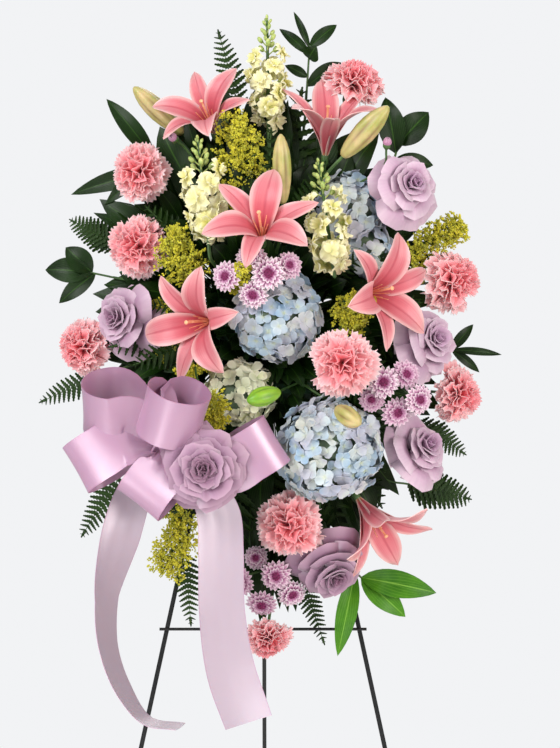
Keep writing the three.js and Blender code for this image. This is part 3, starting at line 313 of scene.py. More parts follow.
# %% Leaf and stem finishes
def leaf_finish(name, dark, light, rib, veins, slant, roughness, relief=0.5):
    """A leaf: blotches of two greens, side veins and a midrib."""
    finish, tree, shader = new_finish(name)
    _, parts, across = on_blade(tree)
    place = add_node(tree, "TexCoord", {}).outputs["Object"]
    blotch = add_node(tree, "TexNoise", {"Vector": place, "Scale": 28.0, "Detail": 4.0, "Roughness": 0.6})
    spread = add_node(tree, "MapRange", {"Value": blotch, "From Min": 0.35, "From Max": 0.7})
    back = add_node(tree, "Math", {0: across, 1: -slant, 2: parts.outputs[1]}, operation="MULTIPLY_ADD")
    wave = add_node(tree, "Math", {0: back, 1: veins * 2 * math.pi}, operation="MULTIPLY")
    ridge = add_node(tree, "Math", {0: wave}, operation="COSINE")
    ranged = {"Value": ridge, "From Min": 0.82, "From Max": 1.0, "To Max": 0.35}
    vein = add_node(tree, "MapRange", ranged)
    ranged = {"Value": across, "From Min": 0.035, "From Max": 0.01, "To Max": 0.8}
    midrib = add_node(tree, "MapRange", ranged)
    layers = [(spread, light), (vein, rib), (midrib, rib)]
    values = {"Roughness": roughness, "Specular IOR Level": 0.2}
    sunk = {"Height": vein, "Strength": relief, "Distance": 0.0006}
    paint(tree, shader, dark, layers, values, sunk, inward=True)
    return finish


def green_finish(name, dark, light, grain=60.0, roughness=0.5):
    """A stem, bud scale or other green skin: soft blotches of two colours."""
    finish, tree, shader = new_finish(name)
    place = add_node(tree, "TexCoord", {}).outputs["Object"]
    blotch = add_node(tree, "TexNoise", {"Vector": place, "Scale": grain, "Detail": 3.0, "Roughness": 0.55})
    spread = add_node(tree, "MapRange", {"Value": blotch, "From Min": 0.35, "From Max": 0.68})
    values = {"Roughness": roughness, "Subsurface Weight": 0.08, "Subsurface Scale": 0.002}
    raised = {"Height": blotch, "Strength": 0.3, "Distance": 0.0008}
    paint(tree, shader, dark, [(spread, light)], values, raised)
    return finish


# %% [markdown]
# ## How the pieces are modelled
#
# Nearly everything on a flower is a thin blade. A blade starts as Blender's flat grid, is bent to shape by
# a function of where a point is across it and along it, and is then solidified. Solidify keeps a wall's
# thickness even at a sharp fold by throwing its corners far out, so it only makes the second skin here, and
# each corner of that skin moves out along its own normal by the petal's thickness. Copies of a few blades
# are turned into place and gathered in one mesh a flower.

# %% Blades, rods and turned pieces
STILL = Matrix.Identity(4)


def blade(columns, rows, thickness, place, finish=0):
    """A petal or leaf. place(across, along) gives a point for across -1 to 1 and along 0 to 1."""
    model = bmesh.new()
    model.loops.layers.uv.new("UVMap")
    bmesh.ops.create_grid(model, x_segments=columns, y_segments=rows, size=1, calc_uvs=True)
    for vert in model.verts:
        vert.co = place(vert.co.x, (vert.co.y + 1) / 2)
    bmesh.ops.remove_doubles(model, verts=model.verts, dist=0.02)
    shell = bmesh.ops.solidify(model, geom=model.faces[:], thickness=0)
    for part in shell["geom"]:
        if isinstance(part, bmesh.types.BMVert):
            part.co += part.normal * thickness
    for face in model.faces:
        face.material_index = finish
    return mesh_from(model)


def turned(profile, sides, finish, wide=1, high=1):
    """A round piece on the local z axis, spun from a profile of (radius, height) that ends on the axis."""
    model = bmesh.new()
    model.loops.layers.uv.new("UVMap")
    verts = [model.verts.new((wide * radius, 0, high * height)) for radius, height in profile]
    edges = [model.edges.new(pair) for pair in zip(verts, verts[1:])]
    bmesh.ops.spin(
        model,
        geom=verts + edges,
        cent=(0, 0, 0),
        axis=(0, 0, 1),
        angle=2 * math.pi,
        steps=sides,
        use_merge=True,
    )
    bmesh.ops.remove_doubles(model, verts=model.verts, dist=0.01)
    bmesh.ops.recalc_face_normals(model, faces=model.faces)
    for face in model.faces:
        face.material_index = finish
    return mesh_from(model)


def through(points, steps):
    """Places along a smooth curve through the points, each span parted by the square root of its length."""
    points = [Vector(p) for p in points]
    points = [2 * points[0] - points[1], *points, 2 * points[-1] - points[-2]]
    spans = len(points) - 3
    found = []
    for step in range(steps + 1):
        place = min(step * spans / steps, spans - 1e-6)
        k = int(place)
        a, b, c, d = points[k : k + 4]
        gaps = [max((q - p).length, 1e-3) ** 0.5 for p, q in ((a, b), (b, c), (c, d))]
        start = ((b - a) / gaps[0] - (c - a) / (gaps[0] + gaps[1]) + (c - b) / gaps[1]) * gaps[1]
        end = ((c - b) / gaps[1] - (d - b) / (gaps[1] + gaps[2]) + (d - c) / gaps[2]) * gaps[1]
        t = place - k
        curve = (2 * b - 2 * c + start + end) * t**3 + (3 * c - 3 * b - 2 * start - end) * t**2
        found.append(curve + start * t + b)
    return found


def rod(points, radius, finish, thin_end=1.0):
    """A round rod through points, with closed ends. Its radius shrinks towards the last by thin_end."""
    curve = bpy.data.curves.new("rod", "CURVE")
    curve.dimensions = "3D"
    curve.bevel_depth = radius
    curve.bevel_resolution = 1
    curve.use_fill_caps = True
    spline = curve.splines.new("POLY")
    spline.points.add(len(points) - 1)
    for k, (point, place) in enumerate(zip(spline.points, points)):
        point.co = (*place, 1)
        point.radius = 1 + (thin_end - 1) * k / (len(points) - 1)
    holder = bpy.data.objects.new("rod", curve)
    mesh = bpy.data.meshes.new_from_object(holder)
    bpy.data.objects.remove(holder)
    bpy.data.curves.remove(curve)
    mesh.materials.clear()
    mesh.polygons.foreach_set("material_index", [finish] * len(mesh.polygons))
    return mesh


def stamp(model, mesh, matrix=STILL, tint=0.0):
    """Adds a moved copy of a mesh to a model. It gets the tint, or with None keeps what it has."""
    copy = mesh.copy()
    copy.transform(matrix)
    if tint is not None:
        layer = copy.attributes.get("tint") or copy.attributes.new("tint", "FLOAT", "POINT")
        layer.data.foreach_set("value", [tint] * len(copy.vertices))
    model.from_mesh(copy)
    bpy.data.meshes.remove(copy)


def gathered(parts):
    """Several meshes in one, for a template of more than one petal. parts is a list of (mesh, matrix)."""
    model = bmesh.new()
    for mesh, matrix in parts:
        stamp(model, mesh, matrix, None)
    return mesh_from(model)


# %% [markdown]
# A bloom is modelled round its own middle, looking along +Z. Then it is put at its place, with its face
# turned where it should look and its own up as near the world's up as that allows.

# %% Places and finished pieces
def turn(degrees, axis):
    return Matrix.Rotation(math.radians(degrees), 4, axis)


def sized(x, y=None, z=None):
    return Matrix.Diagonal((x, x if y is None else y, x if z is None else z, 1))


def axes(*ways):
    """The turn that lays x, y and z along three ways."""
    return Matrix(ways).transposed().to_4x4()


def facing(at, face, roll=0.0):
    """Takes a piece that looks along +Z to a place, looking the way that face gives."""
    out = Vector(face).normalized()
    world = Vector((0, 1, 0)) if abs(out.z) > 0.95 else Vector((0, 0, 1))
    up = (world - out * world.dot(out)).normalized()
    return Matrix.Translation(at) @ axes(up.cross(out), up, out) @ Matrix.Rotation(roll, 4, "Z")


def planted(model, at, face, roll=0.0):
    """Takes a bloom's model from its own middle to its place on the plan."""
    bmesh.ops.transform(model, matrix=facing(at, face, roll), verts=model.verts)
    return model


def behind(at, face, distance):
    """The place behind a bloom at some distance, where its stem comes in."""
    return Vector(at) - Vector(face).normalized() * distance


def strewn(dice, limit):
    """A random vector, with each part between minus and plus the limit."""
    return Vector([dice.uniform(-limit, limit) for _ in range(3)])


SHARP = math.radians(55)
triangles_made = 0


def finish_piece(model, name, finishes, nodes=()):
    """Makes a model in the plan's millimetres into a piece of the frame, in place of some of its nodes."""
    global triangles_made
    bmesh.ops.transform(model, matrix=TO_FRAME, verts=model.verts)
    mesh = mesh_from(model, name)
    for finish in finishes:
        mesh.materials.append(finish)
    mesh.shade_smooth()
    mesh.set_sharp_from_angle(angle=SHARP)
    piece = bpy.data.objects.new(name, mesh)
    bpy.context.scene.collection.objects.link(piece)
    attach(piece, "root")
    if nodes:
        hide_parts(*nodes)
    count = sum(len(face.vertices) - 2 for face in mesh.polygons)
    triangles_made += count
    print(f"{name}: {count} triangles")
    return piece


# %% [markdown]
# ## Stems
#
# Each stem stands in its own hole in the foam. These are the same routes that the solids' stems take, from
# the foam to the bloom. Each row is a stem: its radius, then the points on the plan, three numbers a point.
# Where a stem forks, the later rows are its twigs. The last point is left out where it is worked out from
# the bloom.

# %% Routes of the stems
STEMS = {
    "lily_upper_left": [(2.4, -22, -68, 79, -24, -70, 101, -29, -72, 139, -45, -81, 208)],
    "lily_top": [(2.4, 34, -71, 80, 38, -73, 101, 43, -75, 131, 73, -92, 173)],
    "lily_centre": [(2.4, 0, -82, 34, 0, -102, 42, 0, -129, 53, 0, -160, 98)],
    "lily_right": [(2.4, 46, -86, 13, 55, -106, 18, 63, -126, 22, 104, -144, 34)],
    "lily_left": [(2.4, -26, -87, 0, -30, -108, 2, -34, -123, 4, -49, -148, 6)],
    "lily_low": [(2.4, 44, -85, -72, 50, -89, -92, 58, -97, -127, 93, -108, -179)],
    "lily_bud_upper_left": [(2.2, -38, -60, 78, -42, -61, 100, -51, -61, 142, -73, -83, 213)],
    "lily_bud_top": [(2.2, 40, -76, 79, 44, -94, 91, 50, -122, 140, 76, -144, 181)],
    "lily_bud_centre": [(2.2, 8, -80, 48, 10, -99, 58, 12, -130, 74, 25, -176, 118)],
    "lily_buds_low": [
        (2.2, 24, -94, -40, 27, -116, -44, 29, -128, -46, 44, -144, -67, 44, -158, -70),
        (1.4, 44, -154, -70, 22, -192, -80),
        (1.4, 44, -153, -69, 84, -192, -96),
    ],
    "rose_upper_right": [(2.4, 43, -71, 52, 63, -75, 60, 101, -84, 76, 146, -95, 156)],
    "rose_left": [(2.4, -42, -70, 3, -63, -75, 3, -91, -80, 4, -145, -92, 11)],
    "rose_right": [(2.4, 42, -72, -5, 63, -76, -6, 100, -83, -8, 168, -96, -19)],
    "rose_low_right": [(2.4, 42, -80, -44, 63, -83, -51, 104, -90, -66, 152, -95, -152)],
    "rose_bottom": [(2.4, 30, -85, -71, 33, -89, -93, 60, -112, -190, 78, -86, -256)],
    "rose_bow": [(2.4, -34, -100, -74, -36, -121, -79, -62, -140, -124, -70, -198, -175)],
    "carnation_top": [(2, 32, -60, 78, 36, -59, 99, 46, -56, 153, 86, -47, 238, 103, -69, 278)],
    "carnation_upper_left": [(2, -43, -61, 66, -63, -63, 76, -97, -68, 92, -135, -58, 177, -144, -91, 183)],
    "carnation_mid_left": [(2, -42, -66, 33, -63, -71, 39, -90, -76, 47, -135, -85, 95, -143, -111, 95)],
    "carnation_low_left": [(2, -41, -75, -3, -63, -75, -5, -104, -76, -8, -184, -48, -21, -207, -78, -25)],
    "carnation_centre": [(2, 31, -90, -18, 36, -112, -19, 44, -144, -20, 90, -184, -48, 92, -215, -47)],
    "carnation_right": [(2, 41, -71, 14, 63, -72, 17, 107, -74, 22, 187, -54, 51, 214, -83, 53)],
    "carnation_low_right": [(2, 42, -77, -16, 63, -78, -20, 111, -78, -29, 192, -52, -78, 222, -82, -83)],
    "carnation_low": [(2, 21, -84, -71, 22, -90, -93, 23, -101, -135, 33, -109, -228, 33, -148, -236)],
    "carnation_bottom": [(2, 1, -87, -71, 1, -89, -93, 13, -92, -250, 14, -86, -311, 7, -104, -365)],
    "hydrangea_top": [(3, 44, -75, 79, 63, -79, 89, 77, -82, 96, 90, -85, 136, 96, -101, 142)],
    "hydrangea_centre": [(3, 7, -87, 0, 8, -108, 2, 9, -122, 4, 15, -147, 4, 16, -162, 5)],
    "hydrangea_cream": [(3, -15, -97, -54, -17, -118, -59, -18, -124, -61, -21, -132, -77, -23, -140, -79)],
    "hydrangea_low": [(3, 40, -102, -69, 45, -110, -89, 49, -118, -108, 72, -137, -140, 75, -156, -145)],
    "stock_top": [(2.6, 3, -71, 80, 3, -72, 101, 4, -75, 143, 7, -123, 205, 7, -117, 242)],
    "stock_left": [(2.6, -25, -82, 36, -29, -102, 45, -34, -125, 55, -62, -173, 77, -65, -172, 102)],
    "stock_right": [(2.2, 26, -84, 20, 31, -105, 26, 52, -132, 56, 78, -176, 72, 84, -204, 80)],
    "mums_centre": [
        (2, -1, -84, 16, -1, -105, 22, -8, -138, 74, 2, -182, 67, -2, -210, 62),
        (1.4, -2, -206, 63, -34, -217, 56, -40, -231, 55),
        (1.4, -1, -205, 63, -12, -215, 75, -13, -223, 76),
        (1.4, -1, -203, 63, 5, -228, 58, 7, -240, 58),
        (1.4, -1, -202, 64, -9, -215, 38, -11, -227, 35),
        (1.4, -1, -200, 64, 25, -213, 67, 30, -225, 68),
    ],
    "mums_right": [
        (2, 43, -88, -29, 63, -96, -34, 95, -107, -40, 143, -143, -77, 150, -175, -80),
        (1.4, 149, -171, -80, 143, -201, -72, 143, -216, -70),
        (1.4, 148, -170, -80, 164, -190, -64, 169, -203, -62),
        (1.4, 148, -168, -79, 174, -198, -87, 183, -215, -90),
        (1.4, 148, -167, -79, 156, -190, -100, 159, -203, -104),
        (1.4, 148, -165, -79, 132, -192, -88, 130, -205, -90),
    ],
    "mums_low": [
        (2, -10, -86, -71, -9, -89, -93, -7, -95, -152, 16, -51, -284, 8, -101, -301),
        (1.4, 9, -97, -300, -18, -122, -306, -26, -137, -311),
        (1.4, 9, -96, -299, 15, -128, -300, 16, -142, -303),
        (1.4, 9, -94, -298, 30, -117, -318, 34, -131, -326),
        (1.4, 9, -93, -298, 2, -118, -327, 0, -133, -337),
        (1.4, 10, -92, -298, -4, -115, -284, -7, -127, -284),
    ],
    "goldenrod_top": [(1.8, -11, -77, 71, -12, -95, 83, -14, -120, 99, -23, -150, 147, -25, -150, 175)],
    "goldenrod_left": [
        (1.8, -46, -90, -12, -55, -110, -11, -57, -116, -11, -76, -122, -13, -76, -130, -14),
        (1.5, -76, -126, -14, -87, -157, 22, -93, -158, 45),
        (1.5, -76, -125, -14, -80, -180, -60, -67, -197, -88),
    ],
    "goldenrod_low": [(1.8, -34, -86, -71, -38, -89, -93, -46, -96, -132, -81, -115, -190, -93, -112, -225)],
    "goldenrod_right": [(1.8, 42, -68, 27, 63, -70, 32, 102, -73, 41, 155, -97, 82, 189, -95, 97)],
    "goldenrod_centre": [(1.8, 38, -88, -4, 44, -109, -2, 51, -131, -1, 80, -176, -21, 94, -181, -4)],
    "fern_top_left": [(1.7, -10, -48, 76, -11, -48, 98, -14, -48, 148, -20, -86, 229, -31, -77, 272)],
    "ferns_left": [
        (1.7, -41, -66, -9, -63, -65, -12, -77, -64, -13, -102, -58, -20, -116, -60, -25),
        (1.4, -112, -60, -23, -140, -70, 76, -184, -66, 100),
        (1.4, -111, -59, -23, -169, -87, -51, -200, -79, -63),
        (1.4, -109, -59, -22, -145, -99, -139, -178, -83, -189),
    ],
    "ferns_bottom": [
        (1.7, -9, -77, -72, -11, -78, -94, -12, -78, -123, -22, -62, -171, -22, -64, -198),
        (1.4, -22, -64, -194, -98, -80, -245, -96, -76, -286),
        (1.4, -22, -64, -192, 35, -73, -275, 51, -68, -324),
    ],
    "ferns_right": [
        (1.7, 43, -73, -51, 63, -72, -59, 86, -72, -69, 105, -67, -116, 126, -68, -127),
        (1.4, 122, -68, -125, 173, -74, -109, 193, -69, -122),
        (1.4, 121, -68, -124, 151, -81, -189, 182, -75, -197),
    ],
    "ruscus_top": [
        (1.8, 16, -49, 76, 18, -48, 98, 23, -47, 154, 50, -77, 242, 54, -72, 292),
        (1.5, 54, -72, 288, 58, -66, 350),
    ],
    "foliage_upper_left": [
        (1.8, -48, -48, 76, -53, -49, 98, -59, -50, 122, -78, -74, 161, -96, -72, 176),
        (1.5, -93, -72, 174, -140, -66, 212),
    ],
    "salal_left": [
        (1.8, -42, -59, 16, -63, -60, 20, -99, -63, 25, -154, -85, 53, -186, -78, 60),
        (1.5, -182, -79, 59, -214, -72, 66),
    ],
    "salal_upper_right": [
        (1.8, 43, -50, 63, 63, -52, 73, 103, -56, 92, 150, -83, 157, 160, -78, 196),
        (1.5, 159, -78, 192, 168, -74, 226),
    ],
    "foliage_right": [
        (1.8, 41, -64, -6, 63, -65, -8, 107, -66, -11, 178, -85, -30, 216, -74, -30),
        (1.5, 212, -75, -30, 236, -68, -30),
    ],
    "lily_leaves_low": [
        (1.8, 30, -76, -73, 34, -78, -94, 84, -68, -200, 66, -98, -264, 108, -92, -300),
        (1.5, 105, -92, -297, 122, -90, -312),
    ],
}
STEM_THINS = 0.92  # a stem's radius at the bloom, as a share of that at the foam


def stamp_stems(model, name, finish, ends=()):
    """Adds a flower's stems and twigs to its model. ends are the places where the last ones meet blooms."""
    rows = [(radius, [route[k : k + 3] for k in range(0, len(route), 3)]) for radius, *route in STEMS[name]]
    for (_, points), end in zip(rows[len(rows) - len(ends) :], ends):
        points.append(end)
    for radius, points in rows:
        places = through(points, 4 * (len(points) - 1)) if len(points) > 2 else points
        stamp(model, rod(places, radius, finish, STEM_THINS))


def stalk_from_foam(to, radius):
    """A straight stalk from inside the foam to a place."""
    return rod([FOAM_ON_PLAN.lerp(Vector(to), 0.3), to], radius, 1)


stem_green = green_finish("stem skin, waxed green", "#2B4A20", "#4F7036")
print(len(STEMS), "flowers and greens have stems")

# %% [markdown]
# ## Lilies
#
# An open lily has six petals: three narrow ones outside and three broad ones inside, all rising from a deep
# throat and curling back at their tips. Salmon pink fades to nearly white at the rim, deepens along the
# midrib and turns yellow-green in the throat. Florists take the pollen off, so only pale filaments and the
# pistil stay.

# %% Lilies
LILIES = {  # place, face, reach of the petals, depth of the throat, roll, how far it is open
    "lily_upper_left": ((-70, -140, 258), (-0.32, -0.68, 0.62), 64, 40, 0.0, 0.82),
    "lily_top": ((80, -130, 250), (0.08, -0.45, 0.9), 64, 52, 0.5, 0.6),
    "lily_centre": ((-2, -228, 119), (-0.06, -0.84, 0.54), 72, 40, 0.35, 0.92),
    "lily_right": ((144, -205, 38), (0.66, -0.75, 0.05), 72, 42, 0.35, 0.9),
    "lily_left": ((-80, -205, 0), (-0.58, -0.8, -0.12), 72, 42, 0.15, 0.92),
    "lily_low": ((140, -150, -246), (0.5, -0.45, -0.72), 66, 52, 0.3, 0.6),
}
lily_pink = petal_finish(
    "lily petal, salmon pink",
    [(0.0, "#C2B452"), (0.12, "#BF4450"), (0.4, "#CB5966"), (0.75, "#D98088"), (1.0, "#E6ABA9")],
    rim=("#EFC9C5", 0.42),
    rib=("#B4364A", 0.16),
    rim_share=0.7,
    rib_share=0.6,
    vein="#B8394E",
    vein_share=0.38,
    vein_length=1.1,
    relief=0.5,
    roughness=0.4,
)
pollen_free = green_finish("pistil, pale apricot", "#EE9A72", "#F7C79A", 300.0)
LILY_ROWS = 18
STANDS_UP = 50  # mm that the petals of a half-open lily stand higher
# Degrees that a petal leans out, from its foot to its tip.
TRUMPET = [12 + 108 * (k / LILY_ROWS) ** 1.05 for k in range(LILY_ROWS)]


def lily_profile(reach, deep, bend, opened):
    """How far out and up the middle of a petal is, row by row, for a petal that reaches so far."""
    outs, rises = [0], [0]
    for lean in TRUMPET:
        angle = math.radians(lean * bend * opened)
        outs.append(outs[-1] + math.sin(angle))
        rises.append(rises[-1] + math.cos(angle))
    wide = (reach - 2) / max(outs)
    high = (deep + 6 + STANDS_UP * (1 - opened)) / max(rises)
    return [(2 + wide * out, high * rise - deep) for out, rise in zip(outs, rises)]


def lily_petal(reach, deep, broad, bend, phase, opened):
    width = (0.53 if broad else 0.36) * reach
    profile = lily_profile(reach, deep, bend, opened)

    def place(across, along):
        out, rise = profile[round(along * LILY_ROWS)]
        half = width / 2 * max(math.sin(math.pi * (0.04 + 0.96 * along) ** 1.2), 0) ** 0.68
        trough = (0.55 * (1 - along) ** 1.5 + 0.1) * half * across**2
        keel = -1.8 * math.exp(-((across / 0.2) ** 2)) * math.sin(math.pi * along)
        wave = 2.4 * math.sin(9 * along + phase) * across**2 * along
        above = 2.4 + 3 * math.sin(math.pi * along) if broad else 0
        return Vector((out, across * half, rise + above + trough + keel + wave))

    return blade(10, LILY_ROWS, 0.9, place)


def open_lily(reach, deep, opened, dice):
    model = bmesh.new()
    for k in range(6):
        broad = k % 2 == 1
        petal = lily_petal(reach, deep, broad, dice.uniform(0.86, 1.1), dice.uniform(0, 6), opened)
        stamp(model, petal, turn(60 * k + dice.uniform(-5, 5), "Z"))
    throat = [(0, -deep - 8), (3.4, -deep - 8), (4.6, -deep - 2), (4.2, 6 - deep), (0, 9 - deep)]
    stamp(model, turned(throat, 10, 1))
    for k in range(6):
        away = Vector((math.cos(k * math.pi / 3 + 0.5), math.sin(k * math.pi / 3 + 0.5), 0))
        foot = away * 2 + Vector((0, 0, 4 - deep))
        bend = away * 4 + Vector((0, 0, -0.5 * deep))
        tip = away * dice.uniform(8, 12) + Vector((0, 0, dice.uniform(-2, 6)))
        stamp(model, rod(through([foot, bend, tip], 6), 0.9, 2, 0.5))
    places = through([(0, 0, 4 - deep), (0, 1, -0.4 * deep), (0, 3, 15)], 8)
    stamp(model, rod(places, 1.4, 2))
    stigma = turned([(0, -1.5), (1.8, -1), (2.8, 0.6), (2.2, 2), (0, 2.6)], 9, 2)
    stamp(model, stigma, Matrix.Translation((0, 3, 15.5)))
    return model


for count, (name, (at, face, reach, deep, roll, opened)) in enumerate(LILIES.items()):
    lily = planted(open_lily(reach, deep, opened, random.Random(100 + count)), at, face, roll)
    stamp_stems(lily, name, 1, [behind(at, face, deep + 5)])
    finish_piece(lily, name, [lily_pink, stem_green, pollen_free], [name])

# %% [markdown]
# A lily bud is long and three-sided, with a seam between each two of its closed petals. It is spun from a
# profile, and then its seams are drawn in.

# %% Lily buds
BUDS = {  # node: [(place, face, length, radius, which finish)]
    "lily_bud_upper_left": [((-129, -95, 265), (-0.72, -0.15, 0.67), 84, 13, 0)],
    "lily_bud_top": [((124, -166, 232), (0.66, -0.3, 0.7), 84, 14, 0)],
    "lily_bud_centre": [((23, -190, 185), (-0.03, -0.2, 0.97), 84, 12, 0)],
    "lily_buds_low": [
        ((2, -266, -86), (-0.86, -0.45, -0.24), 44, 11.5, 1),
        ((100, -276, -109), (0.6, -0.7, -0.4), 44, 12, 0),
    ],
}
BUD_PROFILE = [(0, -0.5), (0.3, -0.49), (0.5, -0.44), (0.7, -0.34), (0.9, -0.18), (1.0, -0.02)]
BUD_PROFILE += [(0.97, 0.12), (0.84, 0.26), (0.62, 0.37), (0.36, 0.455), (0.14, 0.495), (0, 0.5)]
BUD_SEAMS = 6


def bud_finish(name, skin, flush, seam):
    """A closed bud: its skin has blotches of a flush colour and is browner in its seams."""
    finish, tree, shader = new_finish(name)
    groove = add_node(tree, "Attribute", {}, attribute_name="tint").outputs["Fac"]
    place = add_node(tree, "TexCoord", {}).outputs["Object"]
    noise = add_node(tree, "TexNoise", {"Vector": place, "Scale": 45.0, "Detail": 4.0})
    spread = add_node(tree, "MapRange", {"Value": noise, "From Min": 0.35, "From Max": 0.7})
    values = {"Roughness": 0.42, "Subsurface Weight": 0.15, "Subsurface Scale": 0.004}
    paint(tree, shader, skin, [(spread, flush), (groove, seam)], values)
    return finish


bud_olive = bud_finish("lily bud, olive and peach", "#A2A352", "#D2B886", "#7E5A3C")
bud_lime = bud_finish("lily bud, lime", "#6B9E1C", "#94BA34", "#4A7418")


def bud_mesh(length, radius, finish):
    """A closed bud, with its seams drawn in and their depth as its tint."""
    mesh = turned(BUD_PROFILE, 36, finish, radius, length)
    layer = mesh.attributes.new("tint", "FLOAT", "POINT")
    for vert, value in zip(mesh.vertices, layer.data):
        angle = math.atan2(vert.co.y, vert.co.x)
        height = vert.co.z / length
        seam = abs(math.cos(BUD_SEAMS * angle / 2)) ** 7
        deep = max(0, 1 - abs(height) * 1.7)
        for axis in (0, 1):
            vert.co[axis] *= 1 - 0.16 * seam * deep + 0.05 * math.cos(3 * angle)
        value.value = 0.75 * seam * min(1, 2.2 * (0.5 - abs(height)))
    return mesh


for name, buds in BUDS.items():
    model = bmesh.new()
    for at, face, length, radius, finish in buds:
        stamp(model, bud_mesh(length, radius, finish), facing(at, face), None)
    stamp_stems(model, name, 2, [behind(at, face, 0.47 * length) for at, face, length, *_ in buds])
    finish_piece(model, name, [bud_olive, bud_lime, stem_green], [name])

# %% [markdown]
# ## Roses
#
# A rose is a spiral. Every petal leans out a little more than the one inside it, from the upright, rolled
# heart to the outer petals that hang back, and the lean grows by the same share each time, which one line
# of arithmetic gives. Each petal has its own rim: highest in the middle, rolled outwards, and a little
# pointed. The rose on the bow is a fuller garden rose, flatter, with many ruffled petals and a mauve heart.
# The petals darken towards their feet, and the inner petals and the core take the darker tint colour:
# partly the heart's own deeper colour, partly painted shade deep in the flower.

# %% Roses
ROSES = {  # place, face, size, petals, how far it is open
    "rose_upper_right": ((178, -160, 168), (0.42, -0.86, 0.2), 41, 26, -0.4),
    "rose_left": ((-173, -140, 8), (-0.66, -0.74, 0.05), 40, 26, -0.6),
    "rose_right": ((204, -150, -19), (0.66, -0.7, 0.24), 40, 26, -0.6),
    "rose_low_right": ((193, -150, -149), (0.6, -0.68, 0.4), 40, 26, -0.6),
    "rose_bottom": ((86, -150, -303), (0.36, -0.72, -0.58), 41, 28, 0.2),
    "rose_bow": ((-68, -275, -171), (0.02, -1, 0.05), 46, 46, 1.0),
}
ROSE_COLOURS = {
    "rim": ("#DFCDDA", 0.35),
    "rib": ("#A47E9F", 0.4),
    "rib_share": 0.2,
    "vein": "#A97FA4",
    "vein_share": 0.28,
    "veins": 30,
    "vein_length": 1.0,
    "roughness": 0.55,
    "sheen": 0.3,
    "glow": 0.14,
    "glow_colour": (0.95, 0.5, 0.75),
}
# Each ramp darkens from the tip down to the foot: partly the petals' own colour, partly painted shade deep in
# the rose.
rose_lavender = petal_finish(
    "rose petal, lavender",
    [(0.0, "#A8986A"), (0.25, "#8E6379"), (0.62, "#A37991"), (0.85, "#BF9BB1"), (1.0, "#DAC2CF")],
    tints="#A4749A",
    **ROSE_COLOURS,
)
# A darker mauve: the bow rose's own colour with painted shade deepened into its creases, and on rose_bottom
# painted shade for a rose that hangs low, under the light.
rose_mauve_and_shaded = petal_finish(
    "rose petal, mauve, darkened as painted shade",
    [(0.0, "#54243A"), (0.35, "#5E384F"), (0.65, "#714C66"), (0.87, "#916C84"), (1.0, "#B796A9")],
    tints="#6E3B59",
    **ROSE_COLOURS,
)
# Darker and pinker than the lavender: the darkness is painted shade, for rose_left, which stands in shade.
rose_dusty_shaded = petal_finish(
    "rose petal, dusty pink, darkened as painted shade",
    [(0.0, "#7A5B50"), (0.3, "#74495E"), (0.63, "#8A627A"), (0.86, "#AE89A0"), (1.0, "#D2B6C6")],
    tints="#8A5877",
    **ROSE_COLOURS,
)
UPRIGHT = 0.13  # radians that the innermost petals lean out


def rose_petal(size, share, opened, count, dice):
    """The petal at a share of the way out from the heart, 0 to 1, with its foot at the origin."""
    hang = 1.5 + 0.35 * opened
    span = 2.5 - (1.5 - 0.3 * abs(opened)) * share**0.5
    loose = 0.06 + 0.05 * share + 0.04 * abs(opened)
    lean_jitter = 1 + dice.uniform(-loose, loose)
    tall = dice.uniform(0.87, 1.06)
    tilt, phase = dice.uniform(-0.14, 0.14), dice.uniform(0, 6)
    ruffle = (0.03 + 0.036 * abs(opened)) * (0.4 + share)
    roll_back = 0.03 + dice.uniform(0.1, 0.24) * share * (1 - 0.4 * opened)
    point = dice.uniform(0.06, 0.16) * share * (1 - 0.8 * opened)
    folded = (0.3 - 0.25 * opened) * share  # how far the sides of an outer petal fold back
    tucked = 0.34 * share if opened < 0 else 0  # and how far they close in behind it

    def place(across, along):
        turn_out = min(1.05, share + across * span * 0.55 / count)
        lean = UPRIGHT * (hang / UPRIGHT) ** turn_out * lean_jitter
        drop = 0.42 * max(0, 1.25 * across**2 - 0.25) ** 2
        length = along * tall * (1 - drop * along) + tilt * across * along
        length += point * (1 - abs(across)) * along**5
        belly = 1.95 * along**2 * (1.277 * along - 1) ** 2 * math.sin(lean)
        out = length * math.sin(lean) + belly * math.cos(lean)
        rise = length * math.cos(lean) - belly * math.sin(lean)
        rolled = max(0, along - 0.74) / 0.26
        out += roll_back * 0.6 * rolled - 0.13 * (1 - share) ** 5 * along**3
        rise -= roll_back * rolled**2 + 0.22 * opened * (1 - share) * along
        rise -= folded * across**4 * along**2
        out *= 1 - tucked * across**4 * along
        wave = ruffle * math.sin(6 * across + phase) * along**3
        wave += 0.5 * ruffle * math.sin(15 * across + 2 * phase) * along**5
        around = across * span * min(1, 0.25 + 1.2 * along)
        out = max(out + wave, 0.012 * (1 + share))
        return size * Vector((out * math.cos(around), out * math.sin(around), rise + 0.5 * wave - 0.56))

    return blade(12, 10, 0.8, place)


